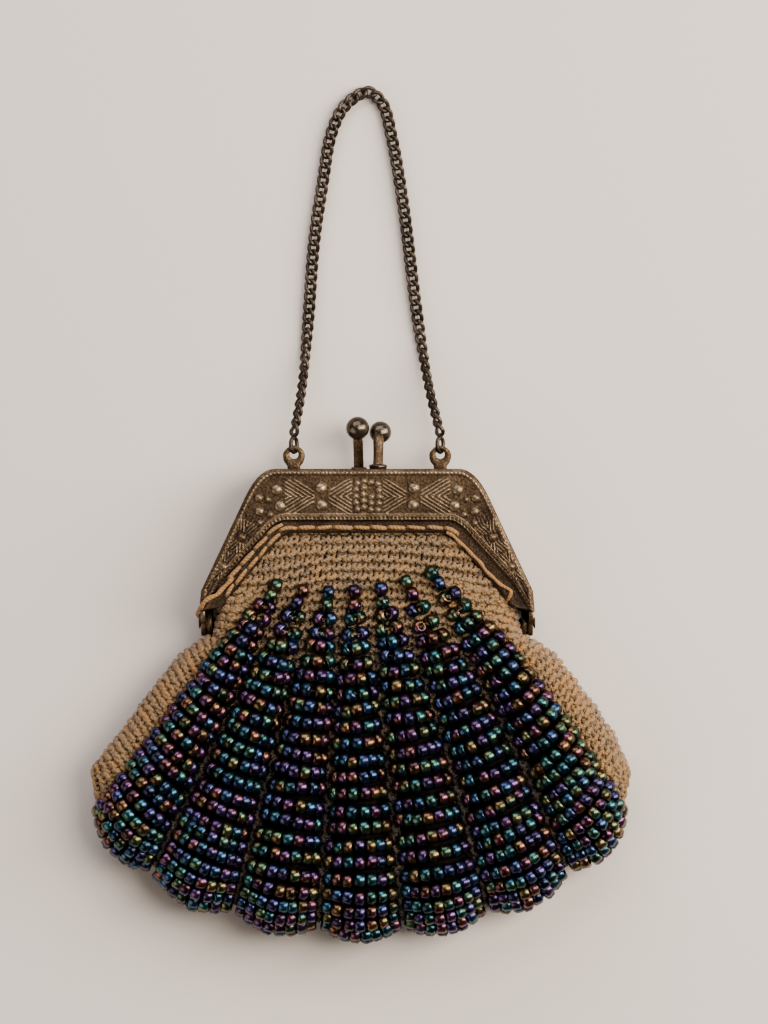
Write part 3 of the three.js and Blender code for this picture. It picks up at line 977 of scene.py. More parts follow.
    def add_ears(self, shape: Shape) -> None:
        """Adds the two hinge ears, the joggles that join them to the walls, and the back half's web.

        Args:
            shape: Where they go.
        """
        root, tip = -self.ear_root, 0.1 - HINGE_DROP - self.ear
        for side in SIDES:
            ends = sorted([side * self.ear_half, side * (self.ear_half - self.sheet)])
            shape.add(sleeve(plate(self.ear_outline(), *ends, 0.08, (1, 2, 0))), 0.5)
            reach = sorted([side * (self.ear_half - self.sheet), side * (OUTER_LINE.end_half - 0.4)])
            low, high = sorted([MID_Z + np.sign(self.ear_wall - MID_Z) * GAP, self.ear_wall])
            joggle = np.array([[root, low], [root - 0.8, low], [root - 0.8, high], [root, high]])
            shape.add(sleeve(plate(joggle, *reach, 0.05, (1, 2, 0))), 0.36)
            if self.face is Face.BACK:
                floor = self.ear_wall + self.sheet
                web = np.array([[root, self.ear_wall], [tip, self.ear_wall], [tip, floor], [root, floor]])
                spread = sorted([side * (self.ear_half - self.sheet + 0.05), side * (self.ear_half + 0.95)])
                # The web's dark tone is painted shade in the gap between the ears.
                shape.add(sleeve(plate(web, *spread, 0.08, (1, 2, 0))), 0.15)

    def add_clasp(self, shape: Shape) -> None:
        """Adds the ball on its post: round with a collar on the front half, a folded bar on the back one.

        Args:
            shape: Where they go.
        """
        foot, ball = np.array(self.clasp.foot), np.array(self.clasp.ball)
        shape.add(sleeve(turned(ball_profile(self.clasp.radius, 17), ball, UPWARD, 28)), 0.52, finish=1)
        if self.face is Face.FRONT:
            end = ball + [-0.28, -0.45, 0.8 * self.clasp.radius]
            path = mix(foot, end, np.linspace(0.0, 1.0, 9)[:, None])
            swell = self.clasp.post * np.array([1.1, 1.03, 0.98, 0.96, 0.96, 0.98, 1.0, 1.06, 0.8])
            shape.add(sleeve(tube(path, swell, 18, UP)), 0.46)
            profile = np.array([[1.25, -0.3], [1.35, 0.25], [1.42, 0.45], [1.3, 0.65], [0.95, 0.75]])
            shape.add(sleeve(turned(profile, np.array([foot[0], 0.0, foot[2]]), UPWARD, 24)), 0.42, finish=1)
            return
        along = unit(ball - foot)
        across = np.array([1.0, 0.0, 0.0])
        over = np.cross(across, along)
        section = np.array([
            [-1.0, -0.6], [1.0, -0.6], [1.0, 0.5], [0.9, 0.62], [0.76, 0.6], [0.62, 0.36],
            [-0.62, 0.36], [-0.76, 0.6], [-0.9, 0.62], [-1.0, 0.5],
        ]) * [self.clasp.post, 0.72]
        stations = mix(foot, ball, np.linspace(0.0, 0.85, 6)[:, None])
        rings = stations[:, None, :] + section[None, :, :1] * across + section[None, :, 1:] * over
        shape.add(sleeve(rings), 0.46)
        flange = np.array([[-1.3, -0.3], [1.3, -0.3], [1.15, 0.3], [-1.15, 0.3]]) + [foot[0], 0.0]
        shape.add(sleeve(plate(flange, foot[2] - 0.9, foot[2] + 0.9, 0.12, (0, 1, 2))), 0.4)

    def add_lugs(self, shape: Shape) -> None:
        """Adds the two chain lugs: flat pear-shaped eyes, whose hole lies a little above the disc's middle.

        Each is a section from the hole's edge to the outline, carried round the hole. The outline is the disc
        or, where it reaches further, the foot that stands on the frame.

        Args:
            shape: Where they go.
        """
        half = self.lug_thick / 2.0
        angle = np.linspace(0.0, TURN, 44, endpoint=False)
        way = np.stack([np.cos(angle), np.sin(angle)], axis=1)
        foot = np.minimum(self.lug_foot / np.abs(way[:, 0]), (self.lug_rise + 0.4) / np.abs(way[:, 1]))
        worn = self.lug_radius + 0.02 * np.sin(5.0 * angle) + 0.015 * np.sin(9.0 * angle + 1.0)
        reach = np.where(way[:, 1] < 0.0, np.maximum(worn, foot), worn)
        hole = way * self.lug_bore + [0.0, 0.32]
        shares = np.array([0.0, 0.1, 0.88, 1.0, 1.0, 0.88, 0.1, 0.0])
        heights = np.array([-half + 0.1, -half, -half, -half + 0.12, half - 0.12, half, half, half - 0.1])
        for side in SIDES:
            flat = mix(hole[:, None, :], (way * reach[:, None])[:, None, :], shares[None, :, None])
            flat = flat + [side * LUG_HALF, self.lug_rise]
            high = np.broadcast_to(LUG_Z + heights, flat.shape[:2])
            rings = np.concatenate([flat, high[:, :, None]], axis=2)
            shape.add(sleeve(rings, loop=True), self.eased_tone)

    def build(self, brass: Material, polished: Material) -> None:
        """Makes the half as one piece.

        Args:
            brass: Its finish.
            polished: The finish of its ball, which fingers keep bright.
        """
        shape = Shape()
        rings, tones = self.channel()
        shape.add(sleeve(rings), tones.ravel())
        self.add_ears(shape)
        self.add_clasp(shape)
        if self.face is Face.BACK:
            self.add_lugs(shape)
        name = f"frame_{self.face.name.lower()}"
        shape.piece(f"{name}_brass", [brass, polished], Slot.BRASS, name)


@dataclass(frozen=True)
class HingeRivets:
    """The two pins through the ears, each with a flat head at both ends and a washer between the ears."""

    outer_half: float = 25.7
    inner_half: float = 23.7
    pin: float = 0.55
    head: float = 0.85
    thick: float = 0.25
    washer: float = 1.85
    washer_half: tuple[float, float] = (24.58, 24.82)
    tone: float = 0.34

    def build(self, brass: Material) -> None:
        """Makes both pins as one piece, each turned from one profile.

        Args:
            brass: Their finish.
        """
        low, high = self.inner_half, self.outer_half
        profile = np.array([
            [self.head * 0.8, low - self.thick], [self.head, low - self.thick + 0.1], [self.head, low],
            [self.pin, low], [self.pin, self.washer_half[0]], [self.washer, self.washer_half[0]],
            [self.washer, self.washer_half[1]], [self.pin, self.washer_half[1]],
            [self.pin, high], [self.head, high], [self.head, high + self.thick - 0.1],
            [self.head * 0.8, high + self.thick],
        ])
        shape = Shape()
        for side in SIDES:
            centre = np.array([0.0, -HINGE_DROP, MID_Z])
            shape.add(sleeve(turned(profile, centre, np.array([float(side), 0.0, 0.0]), 24)), self.tone)
        shape.piece("hinge_rivets_brass", [brass], Slot.BRASS, "hinge_rivet_left", "hinge_rivet_right")


@dataclass(frozen=True)
class RailStitching:
    """The tan thread that holds the bag in the rail: back stitches, and loose strands down the arms."""

    stitch: float = 2.75
    thread: float = 0.35
    back_thread: float = 0.19
    rail: float = 11.0
    sides: int = 10
    lay: float = 0.55
    span: float = 0.43
    mark_play: float = 0.3
    slants: tuple[float, float] = (-0.12, 0.14)
    radii: tuple[float, float] = (0.88, 1.1)
    tones: tuple[float, float] = (0.55, 0.72)
    strand_tone: float = 0.68
    swing: tuple[float, float] = (0.07, 3.1)
    plump: tuple[float, float] = (0.15, 2.2)
    left_end: tuple[Spot, ...] = (
        (-20.6, 16.6, 11.3), (-22.3, 18.6, 11.45), (-23.1, 19.3, 11.7), (-24.1, 19.8, 11.8),
        (-25.2, 20.8, 11.6), (-25.95, 22.2, 9.6), (-25.8, 22.7, 7.5),
    )
    right_strand: tuple[Spot, ...] = (
        (12.2, 9.7, 11.1), (13.2, 10.3, 11.25), (15.1, 12.1, 11.2), (17.0, 14.0, 11.25), (18.9, 16.3, 11.2),
        (20.5, 17.7, 11.25), (22.0, 18.8, 11.3), (21.9, 19.6, 11.2), (21.4, 20.5, 10.4),
    )

    def run(self, shape: Shape, face: Face, across: float, start: float, end: float, radius: float) -> None:
        """A line of stitches along the rail, each plump in its middle and a little aslant.

        A stitch rises out of the rail, lies on it and dips back in: its height falls off with the eighth
        power of the distance from its middle.

        Args:
            shape: Where they go.
            face: Front or back.
            across: Their place between the plate and the window, from 0 to 1.
            start: Where the line starts, as a share of the arch from -1 to 1.
            end: Where it ends.
            radius: The thread's radius.
        """
        rng = np.random.default_rng(SEED + int(1000 * abs(start)))
        share = np.linspace(start, end, 400)
        outer, inner = FACE_LINE.trace(share), WINDOW_LINE.trace(share)
        path = mix(outer, inner, across)
        total = lengths_along(path)[-1]
        count = max(int(round(total / self.stitch)), 1)
        marks = np.linspace(0.0, total, count + 1)
        marks[1:-1] += rng.uniform(-self.mark_play, self.mark_play, count - 1)
        rail = self.rail if face is Face.FRONT else FRONT_Z - self.rail
        local = np.linspace(-1.0, 1.0, 16)
        for first, last in zip(marks, marks[1:]):
            way = mix(first, last, 0.5 + self.span * local)
            aside = (local * rng.uniform(*self.slants))[:, None]
            flat = along_path(path, way, path) + along_path(path, way, unit(inner - outer)) * aside
            plump = radius * rng.uniform(*self.radii) * (0.78 + 0.22 * hump(0.9 * local))
            height = rail + face.value * radius * (0.8 - 1.5 * local**8)
            rings = tube(np.column_stack([flat, height]), plump, self.sides, face.value * UP)
            shape.add_strand(rings, rng.uniform(*self.tones), self.lay)

    def strand(self, shape: Shape, turns: tuple[Spot, ...], radius: float) -> None:
        """A loose strand on a smooth curve through a few points, drawn in where it is caught down.

        Along its length it swings aside and its radius goes up and down, each as a sine of its own length.

        Args:
            shape: Where it goes.
            turns: The points, as x, drop and z.
            radius: The thread's radius.
        """
        line = curve_through(np.array(turns) * [1.0, -1.0, 1.0], 14)
        way = lengths_along(line)
        line[:, 0] += self.swing[0] * np.sin(TURN * way / self.swing[1])
        plump = radius * (1.0 + self.plump[0] * np.sin(TURN * way / self.plump[1]))
        shape.add_strand(tube(line, plump, self.sides, UP), self.strand_tone, self.lay)

    def build(self, cotton: Material) -> None:
        """Makes all stitches as one piece.

        Args:
            cotton: Their finish.
        """
        shape = Shape()
        self.run(shape, Face.FRONT, 0.6, -0.46, 0.49, self.thread)
        self.run(shape, Face.FRONT, 0.25, -0.86, -0.4, self.thread)
        self.run(shape, Face.FRONT, 0.72, -0.94, -0.46, 0.85 * self.thread)
        self.run(shape, Face.BACK, 0.6, -0.96, 0.96, self.back_thread)
        self.strand(shape, self.left_end, self.thread)
        self.strand(shape, self.right_strand, 0.8 * self.thread)
        shape.piece("rail_stitching", [cotton], Slot.COTTON)


# Chain


@dataclass(frozen=True)
class ChainHandle:
    """A run of twisted curb links between two end links that hang in the lugs."""

    wire: float = 0.64
    pitch: float = 1.5
    length: float = 2.66
    width: float = 2.02
    rest: float = 1.02
    fall: float = 15.0
    low: float = 2.3
    end_length: float = 2.9
    end_width: float = 2.1
    twist: float = -math.pi / 4.0
    end_roll: float = math.radians(60.0)
    rolled_links: tuple[float, float] = (6.0, 15.0)
    end_lean: float = math.radians(40.0)
    bend: float = 0.8
    tone: float = 0.36
    tone_spread: float = 0.14
    end_tone: float = 0.4
    route: tuple[tuple[float, float], ...] = (
        (-10.2, 11.8), (-9.2, 22.2), (-8.2, 35.4), (-6.9, 44.3), (-5.5, 52.2), (-3.4, 56.4),
        (0.1, 58.5), (2.3, 56.8), (3.8, 51.5), (5.6, 41.0), (7.6, 25.0), (9.6, 12.5),
    )

    def path(self) -> Array:
        """The chain's way: a smooth curve in plan, lifted from the table to the lugs at its ends.

        Returns:
            Rows of x, y, z, close together.
        """
        top = self.low + self.end_length + GAP
        plan = curve_through(np.array([(-LUG_HALF, top), *self.route, (LUG_HALF, top)]), 40)
        lift = 1.0 - smooth(plan[:, 1], top, top + self.fall)
        return np.column_stack([plan, mix(self.rest, LUG_Z, lift)])

    def ovals(
        self, centre: Array, along: Array, over: Array, sizes: tuple[float, float], twist: float
    ) -> Array:
        """Oval wire rings, each turned steadily about its long axis from one end to the other.

        On a ring, u = a c with c = cos t drawn out by a power, and the other two are b sin t times the cosine
        and sine of twist c.

        Args:
            centre: The rings' middles.
            along: Unit vectors along their long axes.
            over: Unit vectors square to the rings.
            sizes: Outer length and width.
            twist: The turn at each end.

        Returns:
            Points as rings, places along the wire, places round the wire, and x, y, z.
        """
        long_half, wide_half = (sizes[0] - self.wire) / 2.0, (sizes[1] - self.wire) / 2.0
        turn = np.linspace(0.0, TURN, 20, endpoint=False)
        flat = np.sign(np.cos(turn)) * np.abs(np.cos(turn)) ** self.bend
        lean = twist * flat
        wide = wide_half * np.sin(turn)
        local = np.stack([long_half * flat, wide * np.cos(lean), wide * np.sin(lean)], axis=1)
        tangent = unit(np.roll(local, -1, axis=0) - np.roll(local, 1, axis=0))
        out = unit(local * [0.6, 1.0, 1.0])
        beside = unit(np.cross(tangent, out))
        out = np.cross(beside, tangent)
        angle = np.linspace(0.0, TURN, 8, endpoint=False)[None, :, None]
        spokes = np.cos(angle) * out[:, None, :] + np.sin(angle) * beside[:, None, :]
        wire = local[:, None, :] + self.wire / 2.0 * spokes
        across = np.cross(over, along)
        axes = np.stack([along, across, over], axis=1)
        return centre[:, None, None, :] + np.einsum("tsk,nkx->ntsx", wire, axes)

    def build(self, brass: Material) -> None:
        """Makes all links as one piece.

        Args:
            brass: Their finish.
        """
        path = self.path()
        total = lengths_along(path)[-1]
        count = int(total // self.pitch)
        way = (np.arange(count) + 0.5) * total / count
        centre = along_path(path, way, path)
        along = unit(along_path(path, way, np.gradient(path, axis=0)))
        side = unit(np.cross(along, UP))
        flat_up = np.cross(side, along)
        number = np.arange(count)
        rolled = smooth(number, *self.rolled_links) - smooth(count - 1 - number, *self.rolled_links)
        roll = self.end_roll * rolled[:, None]
        over = np.cos(roll) * flat_up + np.sin(roll) * side
        shape = Shape()
        rng = np.random.default_rng(SEED)
        links = self.ovals(centre, along, over, (self.length, self.width), self.twist)
        shape.add_copies(links, self.tone + self.tone_spread * rng.random(count))
        rise = self.low + self.end_length / 2.0
        ends = np.array([[side * LUG_HALF, rise, LUG_Z] for side in SIDES])
        upward = np.tile(UPWARD, (2, 1))
        square = np.tile([math.cos(self.end_lean), 0.0, math.sin(self.end_lean)], (2, 1))
        end_links = self.ovals(ends, upward, square, (self.end_length, self.end_width), 0.0)
        shape.add_copies(end_links, np.full(2, self.end_tone))
        nodes = ("chain", "chain_end_link_left", "chain_end_link_right")
        shape.piece("chain_links", [brass], Slot.CHAIN, *nodes)


# Bag


@dataclass(frozen=True)
class BagForm:
    """The bag's form: lines that fan out from the mouth to the hem, a front and a back, and rounded edges."""

    edge_line: float = 3.5
    top_pitch: float = 3.95
    top_shift: float = -1.9
    top_drop: float = 18.7
    top_tilt: float = -0.33
    top_arch: float = -0.21
    hem_shift: float = -1.0
    hem_half: float = 41.2
    hem_middle: float = 45.4
    hem_reach: float = 24.2
    hem_angle: float = 17.85
    hem_spread: float = 0.35
    bow_right: float = 0.5
    mouth_drop: float = 8.0
    mouth_pitch: float = 3.45
    mouth_fan: float = -0.2
    turn_fan: float = 0.87
    fans: tuple[float, ...] = (-0.2, 0.0, 0.15, 0.3, 0.35, 0.45, 0.62, 0.8, 0.87, 1.0)
    edge_halves: tuple[float, ...] = (13.4, 21.9, 22.4, 23.0, 25.2, 28.4, 33.2, 37.6, 39.2, 40.7)
    edge_drops: tuple[float, ...] = (8.5, 18.8, 23.0, 26.1, 26.9, 29.2, 35.2, 41.4, 43.8, 46.7)
    front: float = 10.15
    back: float = 2.5
    mouth_back: float = 1.3

    def top(self, line: Array) -> tuple[Array, Array]:
        """Where a line leaves the flutes' top, as x and drop."""
        drop = self.top_drop + self.top_tilt * line + self.top_arch * line**2
        return self.top_shift + self.top_pitch * line, drop

    def hem(self, line: Array) -> tuple[Array, Array]:
        """Where a line meets the hem, which is an ellipse.

        Args:
            line: The line's number.

        Returns:
            x and drop.
        """
        angle = np.radians(self.hem_angle * line + self.hem_spread * line**3)
        x = self.hem_shift + self.hem_half * np.sin(angle)
        return x, self.hem_middle + self.hem_reach * np.cos(angle)

    def way_down(self, flat: Array, turn: Array) -> tuple[Array, Array]:
        """The fans and turns of a way down a face and then round the hem, by its flat fans and its turns."""
        fans = np.concatenate([flat, mix(self.turn_fan, 1.0, np.sin(turn))])
        return fans, np.concatenate([np.zeros_like(flat), turn])

    def place(self, line: Array, fan: Array) -> Array:
        """A point of a line seen from above: straight from top to hem, and from the top up to the mouth.

        Args:
            line: The line's number, from -3.5 to 3.5.
            fan: 0 at the flutes' top, 1 at the hem, -0.2 at the mouth.

        Returns:
            x and y on a last axis.
        """
        line, fan = np.broadcast_arrays(np.asarray(line, float), np.asarray(fan, float))
        top_x, top_drop = self.top(line)
        hem_x, hem_drop = self.hem(line)
        rise = np.clip(fan / self.mouth_fan, 0.0, 1.0)
        down = np.clip(fan, 0.0, 1.0)
        bow = np.maximum(line, 0.0) * self.bow_right * np.sin(np.pi * down)
        x = mix(mix(top_x, hem_x, down) + bow, self.mouth_pitch * line, rise)
        drop = mix(mix(top_drop, hem_drop, down), self.mouth_drop, rise)
        return np.stack([x, -drop], axis=-1)

    def edge(self, side: float, fan: Array) -> Array:
        """The bag's outermost line on one side, as x and y on a last axis."""
        x = side * np.interp(fan, self.fans, self.edge_halves) + self.hem_shift * smooth(fan, 0.75, 1.0)
        return np.stack([x, -np.interp(fan, self.fans, self.edge_drops)], axis=-1)

    def depths(self, fan: Array) -> tuple[Array, Array]:
        """The height of the bag's middle and half its thickness."""
        back = np.interp(fan, (self.mouth_fan, 0.0), (self.mouth_back, self.back))
        return (self.front + back) / 2.0, (self.front - back) / 2.0

    def face_point(self, line: Array, fan: Array, turn: Array, face: Face, offset: Array) -> Array:
        """A point of a face, moved out along the face's own normal.

        Past the hem's turn a line follows a quarter ellipse from the face to the hem's outermost line.

        Args:
            line: The line's number.
            fan: How far down the line.
            turn: The angle round the hem, from 0 on the face to a right angle.
            face: Front or back.
            offset: How far out from the face.

        Returns:
            x, y and z on a last axis.
        """
        line, fan, turn, offset = np.broadcast_arrays(
            *[np.asarray(value, float) for value in (line, fan, turn, offset)]
        )
        outward = self.place(line, np.ones_like(fan)) - self.place(line, np.full_like(fan, self.turn_fan))
        reach = np.linalg.norm(outward, axis=-1)
        middle, depth = self.depths(fan)
        normal = unit(np.stack([depth * np.sin(turn), reach * np.cos(turn)], axis=-1))
        flat = self.place(line, fan) + outward / reach[..., None] * (offset * normal[..., 0])[..., None]
        height = middle + face.value * (depth * np.cos(turn) + offset * normal[..., 1])
        return np.concatenate([flat, height[..., None]], axis=-1)

    def roundness(self, fan: Array) -> Array:
        """The power of the edge's superellipse: boxy inside the frame, round further down."""
        return mix(5.0, 2.3, smooth(fan, 0.05, 0.4))

    def edge_section(self, side: float, fan: float, turn: float, angle: Array, offset: float) -> Array:
        """A section round one edge of the bag, a superellipse from the front to the back.

        Args:
            side: 1 on the right and -1 on the left.
            fan: How far down the bag.
            turn: The angle round the hem.
            angle: From a right angle at the front, over 0 at the edge, to minus a right angle at the back.
            offset: How far out from the surface.

        Returns:
            Rows of x, y, z.
        """
        power = 2.0 / self.roundness(fan)
        start, end = self.place(side * self.edge_line, fan), self.edge(side, fan)
        middle, depth = self.depths(fan)
        reach = np.linalg.norm(end - start)
        share = np.abs(np.cos(angle)) ** power * (1.0 + offset / reach)
        height = np.sign(np.sin(angle)) * np.abs(np.sin(angle)) ** power
        flat = start + (end - start) * share[:, None]
        return np.column_stack([flat, middle + height * (depth * math.cos(turn) + offset * math.cos(turn))])


@dataclass(frozen=True)
class GarterStitch:
    """Garter stitch: courses of looped yarn, whose heads stand out in one and whose feet in the next."""

    width: float = 1.62
    pitch: float = 0.7
    yarn: float = 0.35
    sway: float = 1.2
    height: float = 0.52
    lean: float = 0.16
    play: float = 0.07
    depth: float = 0.44
    step: float = 0.22
    lay: float = 0.42
    steps: int = 10
    sides: int = 6

    def course(self, base: Array, normal: Array, heads: bool, start: float, rng: Rng) -> Array:
        """One course of yarn along a base line.

        Along the line the yarn is at t + sway sin 2t, over it at height cos t + lean sin 2t, and out of it at
        depth c (1.5 - 0.5 c^2) with c = cos t, where t goes once round for each stitch, with a little play in
        all three. In every second course the last is turned over, so that the heads of one course and the
        feet of the next stand out together as a ridge. The feet lie on top by a step.

        Args:
            base: The line, rows of x, y, z.
            normal: The way out of the cloth at each of its points.
            heads: Whether the loops' heads, and not their feet, stand out.
            start: Where in a stitch the course starts, in stitches.
            rng: The random draws.

        Returns:
            Rings of points.
        """
        total = lengths_along(base)[-1]
        stitches = total / self.width
        even = np.linspace(0.0, TURN * stitches, int(stitches * self.steps) + 2)
        turn = even + TURN * start + 0.4 * np.sin(0.17 * even + rng.uniform(0.0, 6.0))
        knots = np.pi * np.arange(int(2.0 * stitches) + 2)
        draws = [np.interp(even, knots, rng.normal(0.0, 1.0, len(knots))) for _ in range(4)]
        play = self.play * np.stack(draws)
        way = self.width * (even + self.sway * np.sin(2.0 * turn)) / (TURN)
        way = np.clip(way + play[0], 0.0, total)
        middle = along_path(base, way, base)
        out = unit(along_path(base, way, normal))
        along = unit(along_path(base, way, np.gradient(base, axis=0)))
        over = np.cross(out, along)
        rise = np.cos(turn)
        relief = self.depth * rise * (1.5 - 0.5 * rise**2)
        relief = relief if heads else self.step - relief
        across = self.height * rise + self.lean * np.sin(2.0 * turn) + play[1]
        path = middle + over * across[:, None] + out * (relief + 0.6 * play[2])[:, None]
        return tube(path, self.yarn * (1.0 + 1.5 * play[3]), self.sides, out)


@dataclass(frozen=True)
class KnitBag:
    """The knitted bag: its hollow wall, and courses of garter stitch wherever the beads leave it bare."""

    form: BagForm
    stitch: GarterStitch = GarterStitch()
    edge_stitch: GarterStitch = GarterStitch(
        width=1.5, pitch=0.62, height=0.46, lean=0.2, play=0.08, depth=0.34, step=0.16, steps=9
    )
    wall: float = 1.4
    yoke_first: float = 9.3
    yoke_last: float = 32.5
    lift: float = 0.2
    droop: float = 2.2
    droop_halves: tuple[float, float] = (4.0, 20.0)
    droop_drops: tuple[float, float] = (8.8, 15.0)
    waver: float = 0.07
    tuck: float = 0.7
    frame_margin: float = 0.4
    free_margin: float = 0.5
    narrowing_drops: tuple[float, float] = (22.0, 25.0)
    mouth_from: float = 8.5
    mouth_run: float = 10.0
    end_sink: float = 0.35
    end_reach: tuple[float, float] = (0.3, 1.5)
    top_sink: float = 0.75
    top_drops: tuple[float, float] = (9.6, 11.6)
    margin_halves: tuple[float, float] = (15.0, 24.0)
    shade_drops: tuple[float, float] = (19.0, 31.0)
    margin_line: float = 3.05
    swell: float = 0.1
    weld_reach: float = 0.001
    tone_play: float = 0.06
    tone_rows: int = 8
    # Painted shade: the wall's tones, dark between the stitches and darker under the beads.
    ground_shade_tone: float = 0.24
    shade_tone: float = 0.12
    yarn_tone: float = 0.5
    edge_tone: float = 0.56
    # Painted shade on the yoke's lower courses, between the swags.
    shade: float = 0.26
    valley_from: float = 0.3
    valley_half: float = 0.03
    # Painted shade: the valley courses darken down each valley between the swags.
    valley_shade_tones: tuple[float, float] = (0.28, 0.14)

    def loop(self, fan: float, turn: float, offset: float) -> Array:
        """One closed section of the bag: across the front, round the right edge, back and round the left.

        Args:
            fan: How far down the bag.
            turn: The angle round the hem.
            offset: How far out from the surface, negative for the inside.

        Returns:
            Rows of x, y, z.
        """
        lines = np.linspace(-self.form.edge_line, self.form.edge_line, 43)
        angle = np.linspace(np.pi / 2.0, -np.pi / 2.0, 15)[1:-1]
        front = self.form.face_point(lines, fan, turn, Face.FRONT, offset)
        back = self.form.face_point(lines[::-1], fan, turn, Face.BACK, offset)
        right = self.form.edge_section(1.0, fan, turn, angle, offset)
        left = self.form.edge_section(-1.0, fan, turn, angle[::-1], offset)
        return np.concatenate([front, right, back, left])

    def build_wall(self, cotton: Material) -> None:
        """Makes the hollow wall: its outside down to the hem, and its inside back up to the mouth.

        Args:
            cotton: Its finish.
        """
        flat = np.linspace(self.form.mouth_fan, self.form.turn_fan, 26)
        fans, turns = self.form.way_down(flat, np.linspace(0.0, np.pi / 2.0, 8)[1:])
        places = list(zip(fans, turns))
        outside = [self.loop(*place, 0.0) for place in places]
        inside = [self.loop(*place, -self.wall) for place in reversed(places)]
        rings = np.stack(outside + inside)
        shape = Shape()
        # The wall's tone is painted shade: dark where it shows between the stitches, and darker still further
        # down under the beads.
        tones = mix(self.ground_shade_tone, self.shade_tone, smooth(fans, 0.1, 0.55))
        tones = np.concatenate([tones, tones[::-1]])
        shape.add(sleeve(rings, loop=True), np.repeat(tones, rings.shape[1]))
        weld(shape.piece("knit_bag_cloth", [cotton], Slot.COTTON, "knit_bag"), self.weld_reach * MM)

    def half_widths(self, drop: float, side: float) -> tuple[float, float, float, float]:
        """Where the yoke's courses end at a drop, and where the cloth starts to round off there.

        Args:
            drop: The course's drop.
            side: 1 on the right and -1 on the left.

        Returns:
            The course's end, the start and end of the rounding, all as distances from the middle, and the
            power of the rounding.
        """
        fans = np.linspace(self.form.mouth_fan, 1.0, 200)
        edge = self.form.edge(side, fans)
        inner = self.form.place(side * self.form.edge_line, fans)
        edge_half = abs(float(np.interp(drop, -edge[:, 1], edge[:, 0])))
        inner_half = abs(float(np.interp(drop, -inner[:, 1], inner[:, 0])))
        power = float(self.form.roundness(np.interp(drop, -edge[:, 1], fans)))
        window = WINDOW_LINE.trace(np.linspace(WINDOW_LINE.top_share, 1.0, 200))
        end = edge_half - self.free_margin
        if drop < WINDOW_LINE.tip_drop:
            rail_half = float(np.interp(drop, -window[:, 1], window[:, 0])) + self.tuck
            end = min(rail_half, edge_half - self.frame_margin)
        end = min(end, mix(edge_half, inner_half, float(smooth(drop, *self.narrowing_drops))))
        return end, inner_half, edge_half, power

    def sag(self, x: Any, drop: float) -> Any:
        """How far a course of a drop hangs below it, more towards the hinges, which pull the cloth down."""
        share = smooth(np.abs(x), *self.droop_halves)
        return self.droop * share * smooth(drop, *self.droop_drops)

    def course_end(self, drop: float, side: float) -> tuple[float, float, float, float]:
        """What half_widths gives at the drop that a course has at its end.

        Args:
            drop: The course's drop in its middle.
            side: 1 on the right and -1 on the left.

        Returns:
            As half_widths does.
        """
        widths = self.half_widths(drop, side)
        for _ in range(4):
            widths = self.half_widths(drop + float(self.sag(widths[0], drop)), side)
        return widths

    def yoke_course(self, drop: float, face: Face) -> tuple[Array, Array]:
        """The base line of a course across the yoke: hanging a little at both ends, and rounding off there.

        Args:
            drop: Its drop.
            face: Front or back.

        Returns:
            The line, and the way out of the cloth along it.
        """
        left, right = self.course_end(drop, -1.0), self.course_end(drop, 1.0)
        x = np.linspace(-left[0], right[0], 80)
        drops = drop + self.sag(x, drop)
        down = np.clip((drops - self.mouth_from) / self.mouth_run, 0.0, 1.0)
        fan = mix(self.form.mouth_fan, 0.0, down)
        middle, depth = self.form.depths(fan)
        height = np.ones_like(x)
        for side, (_, inner, edge, power) in ((-1.0, left), (1.0, right)):
            share = np.clip((side * x - inner) / (edge - inner), 0.0, 0.98)
            height = np.minimum(height, (1.0 - share**power) ** (1.0 / power))
        ends = np.minimum(x + left[0], right[0] - x)
        sink = self.end_sink * (1.0 - smooth(ends, *self.end_reach))
        sink = sink + self.top_sink * (1.0 - smooth(drops, *self.top_drops))
        z = middle + face.value * (depth * height + self.lift - sink)
        normal = np.tile(face.value * UP, (len(x), 1))
        return np.column_stack([x, -drops, z]), normal

    def mottle(self, rows: int, rng: Rng) -> Array:
        """Differences of tone along a yarn, a new one every eight rows, as a column."""
        knots = np.arange(0, rows + self.tone_rows, self.tone_rows)
        return np.interp(np.arange(rows), knots, rng.normal(0.0, self.tone_play, len(knots)))[:, None]

    def build_yoke(self, face: Face, cotton: Material) -> None:
        """Makes the courses of one face's yoke as one piece.

        Args:
            face: Front or back.
            cotton: Their finish.
        """
        shape = Shape()
        rng = np.random.default_rng(SEED + 1)
        start = 0.0
        for number, drop in enumerate(np.arange(self.yoke_first, self.yoke_last, self.stitch.pitch)):
            base, normal = self.yoke_course(drop, face)
            base[:, 1] += self.waver * np.sin(0.35 * base[:, 0] + rng.uniform(0.0, 6.0))
            lower = number % 2 == 1
            start = start if lower else rng.random()
            shift = start + base[0, 0] / self.stitch.width
            rings = self.stitch.course(base, normal, lower == (face is Face.FRONT), shift, rng)
            near_edge = smooth(np.abs(rings[:, :, 0]), *self.margin_halves)
            tones = mix(self.yarn_tone, self.edge_tone, near_edge)
            # Painted shade: the courses darken further down, where they lie between the swags.
            tones = tones - self.shade * smooth(drop, *self.shade_drops)
            shape.add_strand(rings, tones + self.mottle(len(rings), rng), self.stitch.lay)
        shape.piece(f"knit_yoke_{face.name.lower()}", [cotton], Slot.COTTON)

    def edge_loop(self, side: int, fan: float, turn: float) -> Array:
        """A line on the cloth round one side edge, from under the front beads to under the back ones.

        Args:
            side: 1 on the right and -1 on the left.
            fan: How far down the bag.
            turn: The angle round the hem.

        Returns:
            Rows of x, y, z.
        """
        lines = side * np.linspace(self.margin_line, self.form.edge_line, 5)[:-1]
        front = self.form.face_point(lines, fan, turn, Face.FRONT, 0.0)
        back = self.form.face_point(lines[::-1], fan, turn, Face.BACK, 0.0)
        angle = np.linspace(np.pi / 2.0, -np.pi / 2.0, 41)
        return np.concatenate([front, self.form.edge_section(side, fan, turn, angle, 0.0), back])

